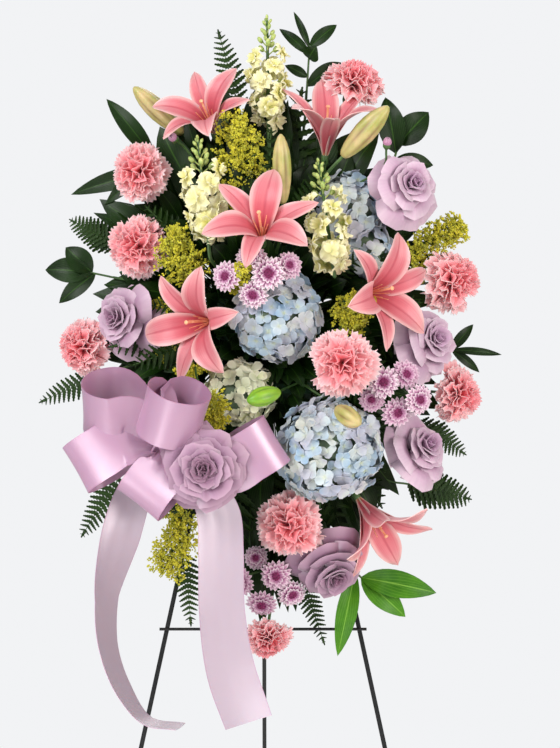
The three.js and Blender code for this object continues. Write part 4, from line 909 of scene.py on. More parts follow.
def rose_model(size, petals, opened, dice):
    model = bmesh.new()
    for k in range(petals):
        share = (k / (petals - 1)) ** (1.15 - 0.2 * abs(opened))
        spin = 100 * k + dice.uniform(-20, 20)
        # Inner petals take more of the darker tint colour: partly their own deeper colour, partly painted
        # shade in the heart.
        tint = max(0, 0.85 - 1.7 * share) + dice.uniform(0, 0.16)
        stamp(model, rose_petal(size, share, opened, petals, dice), turn(spin, "Z"), tint)
    # The core takes the full tint, the darkest: partly its own colour, partly painted shade at the heart.
    core = [(0, -0.5), (0.06, -0.4), (0.07, 0.1), (0.045, 0.3 - 0.22 * opened), (0, 0.34 - 0.22 * opened)]
    stamp(model, turned(core, 8, 0, size, size), tint=1.0)
    hip = [(0, -0.86), (0.1, -0.84), (0.17, -0.74), (0.13, -0.64), (0.2, -0.56), (0.0, -0.5)]
    stamp(model, turned(hip, 12, 1, size, size))

    def sepal(across, along):
        half = 0.09 * size * (1 - along) ** 0.7
        out = size * (0.14 + 0.38 * along)
        return Vector((out, across * half, size * (-0.66 + 0.16 * along - 0.3 * along**3)))

    green = blade(2, 6, 0.8, sepal, 1)
    for k in range(5):
        stamp(model, green, turn(72 * k, "Z"))
    return model


# rose_bottom and rose_left take the darker finishes as painted shade for their places; the bow's rose is
# mauve.
ROSE_PETALS = {"rose_bow": rose_mauve_and_shaded, "rose_bottom": rose_mauve_and_shaded, "rose_left": rose_dusty_shaded}
for count, (name, (at, face, size, petals, opened)) in enumerate(ROSES.items()):
    rose = planted(rose_model(size, petals, opened, random.Random(200 + count)), at, face)
    stamp_stems(rose, name, 1, [behind(at, face, 0.84 * size)])
    petal = ROSE_PETALS.get(name, rose_lavender)
    finish_piece(rose, name, [petal, stem_green], [name])

# %% [markdown]
# ## Carnations
#
# A carnation is a ball of fan-shaped petals that stand so close that they crumple. Each fan is pleated
# along its length and cut like pinking shears at its edge, and the edge is paler. The petals spring from a
# long green calyx with five teeth.

# %% Carnations
CARNATIONS = {  # place, face, size
    "carnation_top": ((116, -85, 308), (0.35, -0.45, 0.82), 40),
    "carnation_upper_left": ((-153, -125, 188), (-0.25, -0.95, 0.15), 39),
    "carnation_mid_left": ((-154, -145, 95), (-0.3, -0.95, 0), 40),
    "carnation_low_left": ((-227, -105, -28), (-0.6, -0.8, -0.1), 38),
    "carnation_centre": ((95, -252, -46), (0.08, -1, 0.03), 41),
    "carnation_right": ((239, -110, 55), (0.68, -0.73, 0.05), 41),
    "carnation_low_right": ((245, -105, -87), (0.7, -0.7, -0.12), 36),
    "carnation_low": ((33, -185, -244), (0, -0.97, -0.2), 42),
    "carnation_bottom": ((7, -124, -388), (0.05, -0.66, -0.75), 31),
}
# The ramp deepens to a dark coral at the petals' feet: partly the flower's own colour, partly painted shade
# in its crumpled depths.
carnation_pink = petal_finish(
    "carnation petal, salmon pink",
    [(0.0, "#DC4F5E"), (0.38, "#F2838D"), (0.78, "#FAABB0"), (0.94, "#FDCBCD"), (1.0, "#FEE0DF")],
    tints="#EF7682",
    vein="#F07F8A",
    vein_share=0.3,
    veins=22,
    relief=0.4,
    roughness=0.65,
    sheen=0.3,
    glow=0.4,
)
CARNATION_PETALS = 42
FAN_COLUMNS = 14


def carnation_petal(length, width, droop, crumple, dice):
    phase, twist = dice.uniform(0, 6), dice.uniform(-0.3, 0.3)
    pleats = dice.uniform(3.6, 6.4)

    def place(across, along):
        fan = width / 2 * (0.12 + 0.88 * along**1.3)
        tooth = 0.085 * length * (round((across + 1) * FAN_COLUMNS / 2) % 2) if along == 1 else 0
        edge = length * (1 - 0.16 * across**2) * along - tooth
        ruffle = crumple * length * math.sin(pleats * across + phase)
        ruffle += 0.05 * length * math.sin(2.3 * pleats * across + 2 * phase)
        height = ruffle * along**2.2 - droop * length * along**2.4 + twist * across * fan * along
        return Vector((edge, across * fan, height))

    return blade(FAN_COLUMNS, 6, 0.6, place)


def carnation_model(size, dice):
    model = bmesh.new()
    root = Vector((0, 0, -0.3 * size))
    lobes = dice.uniform(0, 6)
    for k in range(CARNATION_PETALS):
        share = (k + 0.5) / CARNATION_PETALS
        tilt = 4 + 92 * share**0.62
        lean = math.radians(tilt)
        wide, high = 0.98 * size, 0.78 * size
        length = wide * high / math.hypot(high * math.sin(lean), wide * math.cos(lean))
        length *= dice.uniform(0.8, 1.04) * (1.13 if share > 0.74 and dice.random() < 0.5 else 1)
        spin = k * GOLDEN_ANGLE + dice.uniform(-0.17, 0.17)
        length *= 1 + 0.09 * math.sin(3 * spin + lobes)
        width = size * (0.62 + 0.44 * share)
        petal = carnation_petal(length, width, 0.2 * share, 0.18 - 0.08 * share, dice)
        matrix = Matrix.Translation(root) @ turn(math.degrees(spin), "Z") @ turn(tilt - 90, "Y")
        # Inner petals take more of the tint colour, a deeper pink: partly their own colour, partly painted
        # shade inside the ball.
        stamp(model, petal, matrix, max(0, 0.7 - share) * 0.9 + dice.uniform(0, 0.15))
    cup = [(0, -0.96), (0.1, -0.95), (0.15, -0.85), (0.19, -0.6), (0.22, -0.36), (0.16, -0.24), (0, -0.2)]
    stamp(model, turned(cup, 14, 1, size, size))
    return model


for count, (name, (at, face, size)) in enumerate(CARNATIONS.items()):
    flower = planted(carnation_model(size, random.Random(300 + count)), at, face)
    stamp_stems(flower, name, 1)
    finish_piece(flower, name, [carnation_pink, stem_green], [name])

# %% [markdown]
# ## Hydrangeas
#
# A hydrangea head is a dome of fifty to a hundred and twenty florets, each of four broad petals round a
# bead, standing shoulder to shoulder. The blue is pale and uneven: some florets are nearly white, others
# lilac or greenish. One floret is modelled three times over, and the copies are spread over the dome by the
# golden angle.

# %% Hydrangeas
HYDRANGEAS = {  # place, face, size, which finish
    "hydrangea_top": ((104, -124, 143), (0.3, -0.9, 0.3), 45, 0),
    "hydrangea_centre": ((17, -188, 8), (0.05, -0.98, 0.1), 53, 0),
    "hydrangea_cream": ((-27, -160, -83), (-0.2, -0.95, -0.2), 41, 1),
    "hydrangea_low": ((80, -187, -151), (0.15, -0.95, -0.2), 63, 0),
}
DOME_DEPTH = 0.74
DOME_LOWEST = -0.62
FLORET_LENGTH = 12.8
AREA_OF_A_FLORET = 32  # the size squared over this is how many florets stand on a head
HYDRANGEA_LOOK = {
    "veins": 16,
    "relief": 0.4,
    "roughness": 0.6,
    "glow": 0.2,
    "glow_colour": (0.6, 0.8, 1.0),
}
hydrangea_blue = petal_finish(
    "hydrangea petal, pale blue",
    [(0.0, "#BCC798"), (0.3, "#A0B7C8"), (1.0, "#8AA8C6")],
    tints="#E0E3D6",
    rim=("#AFC4D6", 0.4),
    vein="#7C9DC4",
    patches="#B9B5C5",
    **HYDRANGEA_LOOK,
)
hydrangea_cream = petal_finish(
    "hydrangea petal, greenish cream",
    [(0.0, "#A9BC5C"), (0.3, "#DADFA8"), (1.0, "#ECEAC6")],
    tints="#F3F0DA",
    rim=("#F4F2DA", 0.4),
    vein="#C3CC86",
    patches="#D2D8BC",
    **HYDRANGEA_LOOK,
)
floret_heart = green_finish("hydrangea heart, blue-green", "#9FB7B8", "#C9D6C0", 400.0)
painted_shade_inside_head = green_finish("hydrangea stalks, in shade", "#43563F", "#64785C", 90.0)
ROUND_PETAL = (0.3, 0.86, 1.0, 0.62)  # the half width, row by row


def hydrangea_floret(dice):
    """Four round petals and a bead. There are hundreds, so each petal has only six faces a side."""
    parts = []
    for k in range(4):
        length = FLORET_LENGTH * dice.uniform(0.9, 1.06)
        width = length * dice.uniform(0.98, 1.1)
        lift, skew = dice.uniform(0.05, 0.34), dice.uniform(-0.3, 0.3)

        def place(across, along):
            half = width / 2 * ROUND_PETAL[round(3 * along)]
            out = 0.3 + length * along * (1 - 0.13 * across**2)
            height = lift * length * along + (0.3 * along + skew) * half * across**2 - 0.1 * length * along**3
            return Vector((out, across * half, height + 0.8 * (k % 2)))

        parts.append((blade(2, 3, 0.6, place), turn(90 * k + dice.uniform(-7, 7), "Z")))
    bead = turned([(0, -1.0), (1.5, 0.4), (0, 1.9)], 5, 1)
    return gathered([*parts, (bead, STILL)])


def winding(k, height):
    """The k-th of directions that wind evenly round a ball, at its own height on the ball."""
    ring = math.sqrt(max(0, 1 - height * height))
    return Vector((ring * math.cos(k * GOLDEN_ANGLE), ring * math.sin(k * GOLDEN_ANGLE), height))


def on_ball(direction, wide, high):
    """The point of a stretched ball in a direction, and the ball's own normal there."""
    point = Vector((direction.x * wide, direction.y * wide, direction.z * high))
    normal = Vector((direction.x / wide, direction.y / wide, direction.z / high)).normalized()
    return point, normal


def hydrangea_model(size, dice):
    model = bmesh.new()
    kinds = [hydrangea_floret(dice) for _ in range(3)]
    wide, high = 0.92 * size, 0.9 * DOME_DEPTH * size
    count = round(size * size / AREA_OF_A_FLORET)
    for k in range(count):
        direction = winding(k, 1 + (DOME_LOWEST - 1) * (k + 0.5) / count)
        point, normal = on_ball(direction, wide, high)
        tilt = normal + strewn(dice, 0.46)
        lift = dice.uniform(-8, 3)
        matrix = facing(point + normal * lift, tilt, dice.uniform(0, 6)) @ sized(dice.uniform(0.85, 1.08))
        stamp(model, dice.choice(kinds), matrix, dice.random() ** 1.4)
    # A dark green ball inside the dome: painted shade between the florets, standing for the stalks deep in
    # shadow.
    heart = turned([(0, -0.62), (0.5, -0.5), (0.8, 0), (0.62, 0.38), (0.34, 0.54), (0, 0.58)], 16, 2)
    stamp(model, heart, sized(size))
    return model


for count, (name, (at, face, size, colour)) in enumerate(HYDRANGEAS.items()):
    head = planted(hydrangea_model(size, random.Random(400 + count)), at, face)
    stamp_stems(head, name, 3)
    petal = (hydrangea_blue, hydrangea_cream)[colour]
    finishes = [petal, floret_heart, painted_shade_inside_head, stem_green]
    finish_piece(head, name, finishes, [name])

LOBE_AT, LOBE_FACE, LOBE_SIZE = (127, -122, 92), (0.25, -0.95, 0.1), 31
lobe = planted(hydrangea_model(LOBE_SIZE, random.Random(450)), LOBE_AT, LOBE_FACE)
stamp(lobe, stalk_from_foam(LOBE_AT, 1.3))
finishes = [hydrangea_blue, floret_heart, painted_shade_inside_head, stem_green]
finish_piece(lobe, "hydrangea_top_lobe", finishes)

# %% [markdown]
# ## Stocks
#
# A stock is a spike of ruffled double florets, pale yellow, round a thick green stalk. They open from
# below, so the tip is still a cluster of green buds with a little yellow showing.

# %% Stocks
STOCKS = {  # lowest point, highest point, width
    "stock_top": ((7, -118, 236), (5, -92, 388), 46),
    "stock_left": ((-64, -172, 96), (-79, -164, 232), 54),
    "stock_right": ((86, -206, 56), (66, -168, 204), 52),
}
stock_yellow = petal_finish(
    "stock petal, pale yellow",
    [(0.0, "#AFBB4C"), (0.25, "#DDD56C"), (0.7, "#EFE9A4"), (1.0, "#FAF8DA")],
    tints="#F6F1C4",
    vein="#D9CB68",
    vein_share=0.28,
    veins=14,
    roughness=0.65,
    glow=0.15,
    glow_colour=(0.9, 0.95, 0.6),
)
stock_green = green_finish("stock bud, fresh green", "#8FA856", "#C6CE7C", 200.0)
STOCK_FLORETS = 14
STOCK_BUDS = 16
FLORET_RADIUS = 17.5


def stock_floret(radius, dice):
    parts = []
    for k in range(9):
        inner = k >= 5
        length = radius * (0.6 if inner else 1.0) * dice.uniform(0.9, 1.06)
        lift = (1.1 if inner else 0.16) * dice.uniform(0.7, 1.3)
        phase = dice.uniform(0, 6)

        def place(across, along):
            half = 0.56 * length * max(math.sin(math.pi * (0.06 + 0.8 * along)), 0) ** 0.6
            ruffle = 0.2 * length * math.sin(4.5 * across + phase) * along
            height = lift * length * along - 0.3 * length * along**3 + ruffle
            return Vector((0.5 + length * along * (1 - 0.12 * across**2), across * half, height))

        spin = 72 * k + 30 * inner + dice.uniform(-12, 12)
        parts.append((blade(6, 4, 0.6, place), turn(spin, "Z")))
    cup = turned([(0, -9), (1.1, -9), (1.6, -4), (2.4, -1.5), (1.4, 0.4), (0, 0.6)], 6, 1)
    return gathered([*parts, (cup, STILL)])


def stock_model(low, high, width, dice):
    low, high = Vector(low), Vector(high)
    axis = (high - low).normalized()
    length = (high - low).length
    model = bmesh.new()
    kinds = [stock_floret(FLORET_RADIUS, dice) for _ in range(3)]
    for k in range(STOCK_FLORETS):
        direction = winding(k, -0.9 + 1.22 * k / (STOCK_FLORETS - 1))
        point, normal = on_ball(direction, 0.4 * width, 0.45 * length)
        tilt = normal + strewn(dice, 0.3) + Vector((0, 0, 0.15))
        scale = dice.uniform(0.82, 1.12) * (1 - 0.25 * k / STOCK_FLORETS)
        kind = dice.choice(kinds)
        stamp(model, kind, facing(point, tilt, dice.uniform(0, 6)) @ sized(scale), dice.random())
    bud = turned([(0, -4.5), (1.7, -4), (2.6, -1.5), (2.7, 1), (1.8, 3.4), (0, 4.6)], 8, 1)
    for k in range(STOCK_BUDS):
        share = k / (STOCK_BUDS - 1)
        direction = winding(k, 0.4 + 0.56 * share)
        point, normal = on_ball(direction, (0.26 - 0.1 * share) * width, 0.47 * length)
        scale = 1.25 - 0.6 * share
        stamp(model, bud, facing(point, normal + Vector((0, 0, 1.2))) @ sized(scale))
        foot = Vector((0, 0, point.z - 9))
        stamp(model, rod([foot, point - normal], 0.8, 1))
    stalk = [(0, -0.52), (2.6, -0.5), (2.2, 0), (1.3, 0.44), (0, 0.47)]
    stamp(model, turned(stalk, 8, 2, 1, length))
    return planted(model, (low + high) / 2, axis)


for count, (name, (low, high, width)) in enumerate(STOCKS.items()):
    spike = stock_model(low, high, width, random.Random(500 + count))
    stamp_stems(spike, name, 2)
    finish_piece(spike, name, [stock_yellow, stock_green, stem_green], [name])

# %% [markdown]
# ## Button chrysanthemums
#
# Each small bloom has three rings of narrow, spoon-shaped petals, lavender-pink with pale tips, round a
# button of tiny dark florets. Several blooms share one branched stem. Two closed buds of the same plant
# peep out between the other flowers.

# %% Button chrysanthemums
MUMS = {  # middle, face, blooms as (x, y, z from the middle, radius)
    "mums_centre": (
        (-2, -240, 64),
        (0, -1, 0.05),
        [(-40, 6, -9, 17), (-11, 14, 13, 17), (9, -4, -6, 19), (-9, 10, -30, 17), (33, 12, 4, 16)],
    ),
    "mums_right": (
        (158, -216, -82),
        (0.2, -0.98, -0.05),
        [(-15, -4, 12, 18), (12, 10, 21, 17), (27, -2, -8, 17), (2, 10, -23, 18), (-28, 8, -8, 15)],
    ),
    "mums_low": (
        (4, -140, -316),
        (-0.1, -0.9, -0.35),
        [(-31, 0, 4, 17), (12, -6, 12, 18), (31, 6, -11, 17), (-5, 4, -23, 18), (-12, 10, 32, 14)],
    ),
}
mum_pink = petal_finish(
    "chrysanthemum petal, lavender pink",
    [(0.0, "#6E1F4B"), (0.4, "#8E3C6D"), (0.66, "#AF7197"), (0.85, "#DBBBCB"), (1.0, "#F6E9EE")],
    tints="#BE83A4",
    vein="#B25FA0",
    vein_share=0.2,
    veins=8,
    roughness=0.6,
    glow=0.2,
    glow_colour=(1.0, 0.5, 0.9),
)
mum_heart = green_finish("chrysanthemum heart, dark magenta", "#5A0F3C", "#8A205E", 500.0, 0.7)
MUM_RINGS = ((19, 1.0, 4), (17, 0.86, 17), (13, 0.66, 34))  # petals, length, degrees that they rise


def mum_bloom(radius, dice):
    parts = []
    for petals, share, rise in MUM_RINGS:
        for k in range(petals):
            length = radius * (share * dice.uniform(0.93, 1.04) - 0.14)
            width = dice.uniform(5.0, 5.9)

            def place(across, along):
                half = width / 2 * (0.3 + 0.7 * math.sin(math.pi * (0.08 + 0.66 * along)))
                cup = 0.24 * width * across**2
                out = 0.14 * radius + length * along * (1 - 0.16 * across**2)
                return Vector((out, across * half, cup - 0.12 * length * along**3))

            spin = 360 * (k + dice.uniform(-0.2, 0.2)) / petals
            slant = turn(spin, "Z") @ turn(-rise * dice.uniform(0.8, 1.2), "Y")
            parts.append((blade(2, 4, 0.6, place), slant))
    heart = turned([(0, -0.2), (0.31, -0.1), (0.38, 0.12), (0.27, 0.26), (0, 0.3)], 14, 1)
    parts.append((heart, sized(radius)))
    dot = turned([(0, -0.06), (0.05, 0), (0.03, 0.07), (0, 0.08)], 5, 1)
    for k in range(26):
        point, normal = on_ball(winding(k, 1 - 0.75 * (k + 0.5) / 26), 0.34, 0.3)
        parts.append((dot, sized(radius) @ facing(point, normal)))
    back = turned([(0, -0.42), (0.16, -0.36), (0.3, -0.12), (0.22, 0), (0, 0.02)], 12, 2)
    parts.append((back, sized(radius)))
    return gathered(parts)


for count, (name, (at, face, blooms)) in enumerate(MUMS.items()):
    dice = random.Random(600 + count)
    spray = bmesh.new()
    out = Vector(face).normalized()
    for x, y, z, radius in blooms:
        tilt = out + Vector((0.012 * x, 0, 0.012 * z))
        bloom = mum_bloom(1.12 * radius, dice)
        stamp(spray, bloom, facing(Vector(at) + Vector((x, y, z)), tilt, x), dice.random() * 0.6)
    stamp_stems(spray, name, 2)
    finish_piece(spray, name, [mum_pink, mum_heart, stem_green], [name])

MUM_BUDS = {  # place, face, where its stem leaves the foam
    "mum_bud_left": ((-108, -150, 226), (-0.5, -0.8, 0.4), (-40, -96, 92)),
    "mum_bud_right": ((150, -166, 218), (0.1, -0.5, 0.85), (52, -74, 92)),
}
MUM_BUD_RADIUS = 10


def bud_petal_place(across, along):
    out = 0.62 * math.sin(0.2 + 2.3 * along) - 0.1
    half = 0.05 + 0.17 * math.sin(math.pi * along)
    return Vector((out, across * half, -0.55 + 1.25 * along)) * MUM_BUD_RADIUS


bud_petal = blade(2, 5, 0.6, bud_petal_place)
bud_cup = turned([(0, -9), (1.5, -8.6), (4.6, -5), (5, -1.5), (3.5, 0), (0, 0.5)], 10, 2)
for name, (at, face, foot) in MUM_BUDS.items():
    model = bmesh.new()
    for ring, (petals, size) in enumerate(((9, 1.0), (7, 0.72), (5, 0.44))):
        for k in range(petals):
            matrix = sized(size, size, 1) @ turn(360 * k / petals + 20 * ring, "Z")
            stamp(model, bud_petal, matrix, 0.8)
    stamp(model, bud_cup)
    planted(model, at, face)
    way = [foot, Vector(foot) + Vector((0, -20, 40)), behind(at, face, 30), behind(at, face, 8)]
    stamp(model, rod(through(way, 12), 1.4, 2))
    finish_piece(model, name, [mum_pink, mum_heart, stem_green])

# %% [markdown]
# ## Goldenrod
#
# A plume of goldenrod is a stalk with arching side sprays, and each spray carries rows of tiny heads on its
# upper side. A head here is a tuft of beads of eight faces each, and only its size and colour change,
# because there are hundreds.

# %% Goldenrod
GOLDENRODS = {  # [(base, tip, spread to each side, side sprays)]
    "goldenrod_top": [((-25, -150, 172), (-32, -150, 246), 34, 13)],
    "goldenrod_left": [
        ((-92, -158, 42), (-108, -160, 108), 30, 12),
        ((-68, -196, -86), (-54, -214, -116), 18, 9),
    ],
    "goldenrod_low": [((-92, -112, -222), (-118, -105, -300), 30, 13)],
    "goldenrod_right": [((186, -95, 96), (244, -92, 122), 22, 11)],
    "goldenrod_centre": [((92, -180, -6), (118, -188, 26), 22, 9)],
}
goldenrod_yellow = petal_finish(
    "goldenrod head, golden yellow",
    [(0.0, "#DAD22E"), (1.0, "#F1E23C")],
    tints="#97A026",
    vein="#F0CC26",
    vein_share=0.4,
    roughness=0.8,
    glow=0.15,
    glow_colour=(1.0, 0.8, 0.2),
)
BEADS = 7


def goldenrod_head(dice):
    """A tuft of small beads."""
    parts = []
    for _ in range(BEADS):
        model = bmesh.new()
        bmesh.ops.create_uvsphere(model, u_segments=4, v_segments=2, radius=dice.uniform(1.0, 1.9))
        away = Vector((dice.uniform(-3.2, 3.2), dice.uniform(-3.2, 3.2), dice.uniform(0.2, 4.4)))
        parts.append((mesh_from(model), Matrix.Translation(away) @ sized(1, 1, dice.uniform(1.0, 1.5))))
    return gathered(parts)


def stamp_plume(model, base, tip, spread, sprays, kinds, dice):
    base, tip = Vector(base), Vector(tip)
    axis = (tip - base).normalized()
    length = (tip - base).length
    side = axis.cross(Vector((0, -1, 0))).normalized()
    front = side.cross(axis)
    if front.y > 0:
        front.negate()
    stamp(model, rod(through([base, (base + tip) / 2 + front * 2, tip], 6), 1.1, 1, 0.5))
    for k in range(sprays + 1):
        share = k / sprays
        root = base + axis * length * 0.86 * share
        wide = spread * (1 - 0.45 * share) * dice.uniform(0.8, 1.1)
        swing = k * 2.4 + dice.uniform(-0.3, 0.3)
        away = side * math.cos(swing) * wide + front * (abs(math.sin(swing)) * 0.45 * wide)
        goal = root + away + axis * dice.uniform(0.2, 0.34) * length
        if k == sprays:
            goal = tip
        places = through([root, root.lerp(goal, 0.5) + axis * 0.12 * wide, goal], 7)
        stamp(model, rod(places, 0.7, 1, 0.6))
        for place in places[1:]:
            for _ in range(5):
                jump = strewn(dice, 7.5)
                matrix = facing(place + jump, axis + jump * 0.3, dice.uniform(0, 6))
                kind = dice.choice(kinds)
                stamp(model, kind, matrix @ sized(dice.uniform(0.6, 1.1)), dice.random() ** 1.3)


def goldenrod_model(plumes, dice, in_foam=False):
    """Several plumes in one model. Those in_foam get a straight stalk to the foam."""
    kinds = [goldenrod_head(dice) for _ in range(3)]
    model = bmesh.new()
    for base, *rest in plumes:
        stamp_plume(model, base, *rest, kinds, dice)
        if in_foam:
            stamp(model, stalk_from_foam(base, 1.1))
    return model


for count, (name, plumes) in enumerate(GOLDENRODS.items()):
    model = goldenrod_model(plumes, random.Random(700 + count))
    stamp_stems(model, name, 1)
    finish_piece(model, name, [goldenrod_yellow, stem_green], [name])

BETWEEN = [  # base, tip, spread to each side, side sprays: goldenrod that only shows between the blooms
    ((-104, -128, -56), (-124, -136, 26), 20, 7),
    ((-34, -206, 46), (-22, -238, 62), 9, 3),
    ((196, -92, 60), (186, -104, 92), 16, 4),
    ((-60, -150, -30), (-96, -168, -62), 14, 4),
    ((-26, -140, 104), (-40, -158, 168), 17, 4),
]
model = goldenrod_model(BETWEEN, random.Random(790), in_foam=True)
finish_piece(model, "goldenrod_between", [goldenrod_yellow, stem_green])

# %% [markdown]
# ## Ferns
#
# A leatherleaf frond is a flat triangle: leaflets stand in pairs along a brown-green rib, long near the
# foot and short at the tip, and each leaflet is toothed like a small frond itself. One toothed leaflet is
# made once and stamped along both sides of each rib.

# %% Ferns
FRONDS = {  # [(foot, tip, width)]
    "fern_top_left": [((-30, -78, 268), (-56, -58, 368), 46)],
    "ferns_left": [
        ((-180, -66, 98), (-240, -60, 132), 50),
        ((-196, -80, -62), (-278, -58, -95), 44),
        ((-176, -84, -186), (-226, -60, -262), 46),
    ],
    "ferns_bottom": [((-96, -76, -282), (-90, -66, -372), 40), ((50, -68, -320), (76, -60, -396), 34)],
    "ferns_right": [((190, -70, -120), (252, -56, -160), 46), ((178, -76, -196), (258, -60, -216), 62)],
}
fern_green = leaf_finish("fern, dark and leathery", "#152A08", "#263F10", "#37591E", 14, 2.0, 0.48)
FRONT = Vector((0, -1, 0.15))
TEETH = 5


def leaflet_place(across, along):
    row = round(along * 2 * TEETH)
    tooth = 1.0 if row % 2 else 0.66
    half = 0.2 * (1 - along) ** 0.5 * tooth + 0.012
    return Vector((along + 0.05 * (row % 2) * abs(across), across * half, 0.06 * across**2 - 0.1 * along**2))


leaflet = blade(2, 2 * TEETH, 0.02, leaflet_place)


def stamp_frond(model, foot, tip, width, dice, pairs=13):
    foot, tip = Vector(foot), Vector(tip)
    along = (tip - foot).normalized()
    length = (tip - foot).length
    up = (FRONT - along * FRONT.dot(along)).normalized()
    side = along.cross(up)
    places = through([foot, foot.lerp(tip, 0.5) + up * 0.1 * length, tip], 10)
    stamp(model, rod(places, 1.0, 1, 0.4))
    for k in range(pairs):
        share = (k + 0.6) / pairs
        root = foot + along * share * length + up * 0.1 * length * math.sin(math.pi * share)
        reach = width / 2 * min(1, 0.6 + 1.8 * share) * (1 - share) ** 0.5 * 1.12
        for hand in (-1, 1):
            out = (side * hand + along * 0.55 - up * dice.uniform(0.05, 0.2)).normalized()
            laid = Matrix.Translation(root) @ axes(out, up.cross(out).normalized(), up)
            stamp(model, leaflet, laid @ sized(reach * dice.uniform(0.92, 1.04)))
    laid = Matrix.Translation(foot + along * 0.9 * length) @ axes(along, up.cross(along).normalized(), up)
    stamp(model, leaflet, laid @ sized(0.1 * length + 3))


for count, (name, fronds) in enumerate(FRONDS.items()):
    dice = random.Random(800 + count)
    model = bmesh.new()
    for foot, tip, width in fronds:
        stamp_frond(model, foot, tip, width, dice)
    stamp_stems(model, name, 1)
    finish_piece(model, name, [fern_green, stem_green], [name])

# %% [markdown]
# ## Leafy stems
#
# Ruscus, salal and the lilies' own foliage: each leaf is folded a little along its midrib, arches, and
# comes to a point. The lily leaves low on the right are a brighter green than the rest.

# %% Leafy stems
LEAVES = {  # start and end of the twig, leaves as (share along the twig, tip, width)
    "ruscus_top": (
        (54, -72, 292),
        (58, -66, 350),
        [(1, (92, -60, 376), 17), (0.95, (38, -62, 392), 9), (0.8, (20, -66, 370), 14)]
        + [(0.7, (66, -84, 346), 24), (0.3, (27, -70, 324), 13), (0.1, (98, -52, 330), 20)],
    ),
    "foliage_upper_left": (
        (-96, -72, 176),
        (-140, -66, 212),
        [(0.9, (-196, -56, 284), 24), (0.5, (-240, -60, 164), 26)]
        + [(0.2, (-110, -60, 268), 24), (0.8, (-196, -80, 150), 22)],
    ),
    "salal_left": (
        (-186, -78, 60),
        (-214, -72, 66),
        [(1, (-272, -62, 70), 32), (0.8, (-254, -70, 28), 22), (1, (-246, -66, 98), 30)],
    ),
    "salal_upper_right": (
        (160, -78, 196),
        (168, -74, 226),
        [(0.6, (152, -74, 284), 34), (1, (206, -70, 266), 36), (0.3, (212, -66, 200), 22)],
    ),
    "foliage_right": (
        (216, -74, -30),
        (236, -68, -30),
        [(1, (298, -60, -36), 10), (0.9, (262, -64, 2), 14), (1, (270, -60, -58), 12)],
    ),
    "lily_leaves_low": (
        (108, -92, -300),
        (122, -90, -312),
        [(0.4, (92, -96, -408), 26), (1, (176, -92, -360), 30), (1, (214, -96, -330), 34)],
    ),
}
leaf_dark = leaf_finish("leaf, dark and waxy", "#0C1D06", "#19330B", "#33561A", 8, 1.5, 0.38)
leaf_bright = leaf_finish("lily leaf, bright green", "#2F6610", "#4D871A", "#7EB042", 3, 3.0, 0.38, 0.3)
HIGHEST_LEAF = 0.94


def leaf_blade(root, tip, width, face, columns=6, rows=12):
    """A leaf from its root to its tip, with its upper side turned to face."""
    along = (tip - root).normalized()
    up = (face - along * face.dot(along)).normalized()
    side = along.cross(up)
    length = (tip - root).length

    def place(across, share):
        half = max(0.6 * (1 - share), width / 2 * max(math.sin(math.pi * share**0.85), 0) ** 0.8)
        lift = 0.12 * length * math.sin(math.pi * share) + 0.22 * half * abs(across)
        lift += 0.03 * width * math.sin(11 * share) * across**2
        return root + along * share * length + side * across * half + up * lift

    return blade(columns, rows, 0.8, place)


for name, (start, end, leaves) in LEAVES.items():
    start, end = Vector(start), Vector(end)
    model = bmesh.new()
    for share, tip, width in leaves:
        root = start.lerp(end, min(share, HIGHEST_LEAF))
        stamp(model, leaf_blade(root, Vector(tip), width, FRONT))
    stamp_stems(model, name, 1)
    green = leaf_bright if name == "lily_leaves_low" else leaf_dark
    finish_piece(model, name, [green, stem_green], [name])

# %% [markdown]
# ## The leaves inside the spray
#
# Before a florist adds a single flower, the foam is hidden under short greens. They are why the gaps
# between the flowers are dark green in the photograph. Leaves and short fronds are stuck in all over the
# foam's front and sides, each about square to the block. Each bloom is taken as a ball or a row of balls,
# and a green whose way would enter one stops short of it.

# %% Leaves inside the spray
INNER_LEAVES = 370
BACK_LEAVES = 120
INNER_FRONDS = 30
FOAM_HALF = Vector((59.2, 38.0, 93.2))
BEHIND = -52  # greens stay in front of the easel's wires
LEG_X, LEG_TOP_Y, LEG_TOP_Z = 4.7, -5.2, 104  # the rear leg's upper end, once it is folded in
LEG_SLOPE = 0.143  # how far it then comes forward for each mm down
LOOSE_LEAVES = [  # tips in the gaps that the photograph shows dark, as x and z on the plan
    (222, -10), (214, 22), (216, -58), (206, -112), (196, -92), (168, -196), (150, -214), (124, -262),
    (60, -262), (42, -292), (18, -300), (-8, -292), (-20, -330), (58, -320), (28, -342), (-2, -352),
    (176, 128), (196, 108), (-196, 40), (-204, -10), (-130, 214), (-196, 150), (-30, 250), (40, 268),
    (-120, -60), (-124, 60), (-110, -20), (-120, -110), (120, -60), (126, 60), (-90, 110), (-90, -130),
    (96, -238), (76, -236), (112, -224), (56, -226), (-69, 62), (-77, -67), (16, -114), (-179, -46),
    (84, -264), (68, -260), (152, -160), (150, -178),
]
INNER_OVAL = (205, 120, 290)  # half sizes of the ovals that the greens fill, from the foam's middle
BACK_OVAL = (224, 120, 326)
FROND_OVAL = (214, 130, 312)
IN_FOAM = 8  # mm that a twig goes into the foam

BLOOMS = []  # the middle and the radius of each ball
for at, face, reach, deep, *_ in LILIES.values():
    BLOOMS.append((behind(at, face, 0.3 * deep), 0.72 * reach))
for blooms, share in ((ROSES, 0.8), (CARNATIONS, 0.92), (HYDRANGEAS, 0.9)):
    BLOOMS += [(Vector(at), share * size) for at, _, size, *_ in blooms.values()]
for low, high, width in STOCKS.values():
    BLOOMS += [(Vector(low).lerp(Vector(high), share), 0.48 * width) for share in (0.15, 0.4, 0.65)]
for at, _, blooms in MUMS.values():
    BLOOMS += [(Vector(at) + Vector((x, y, z)), radius) for x, y, z, radius in blooms]


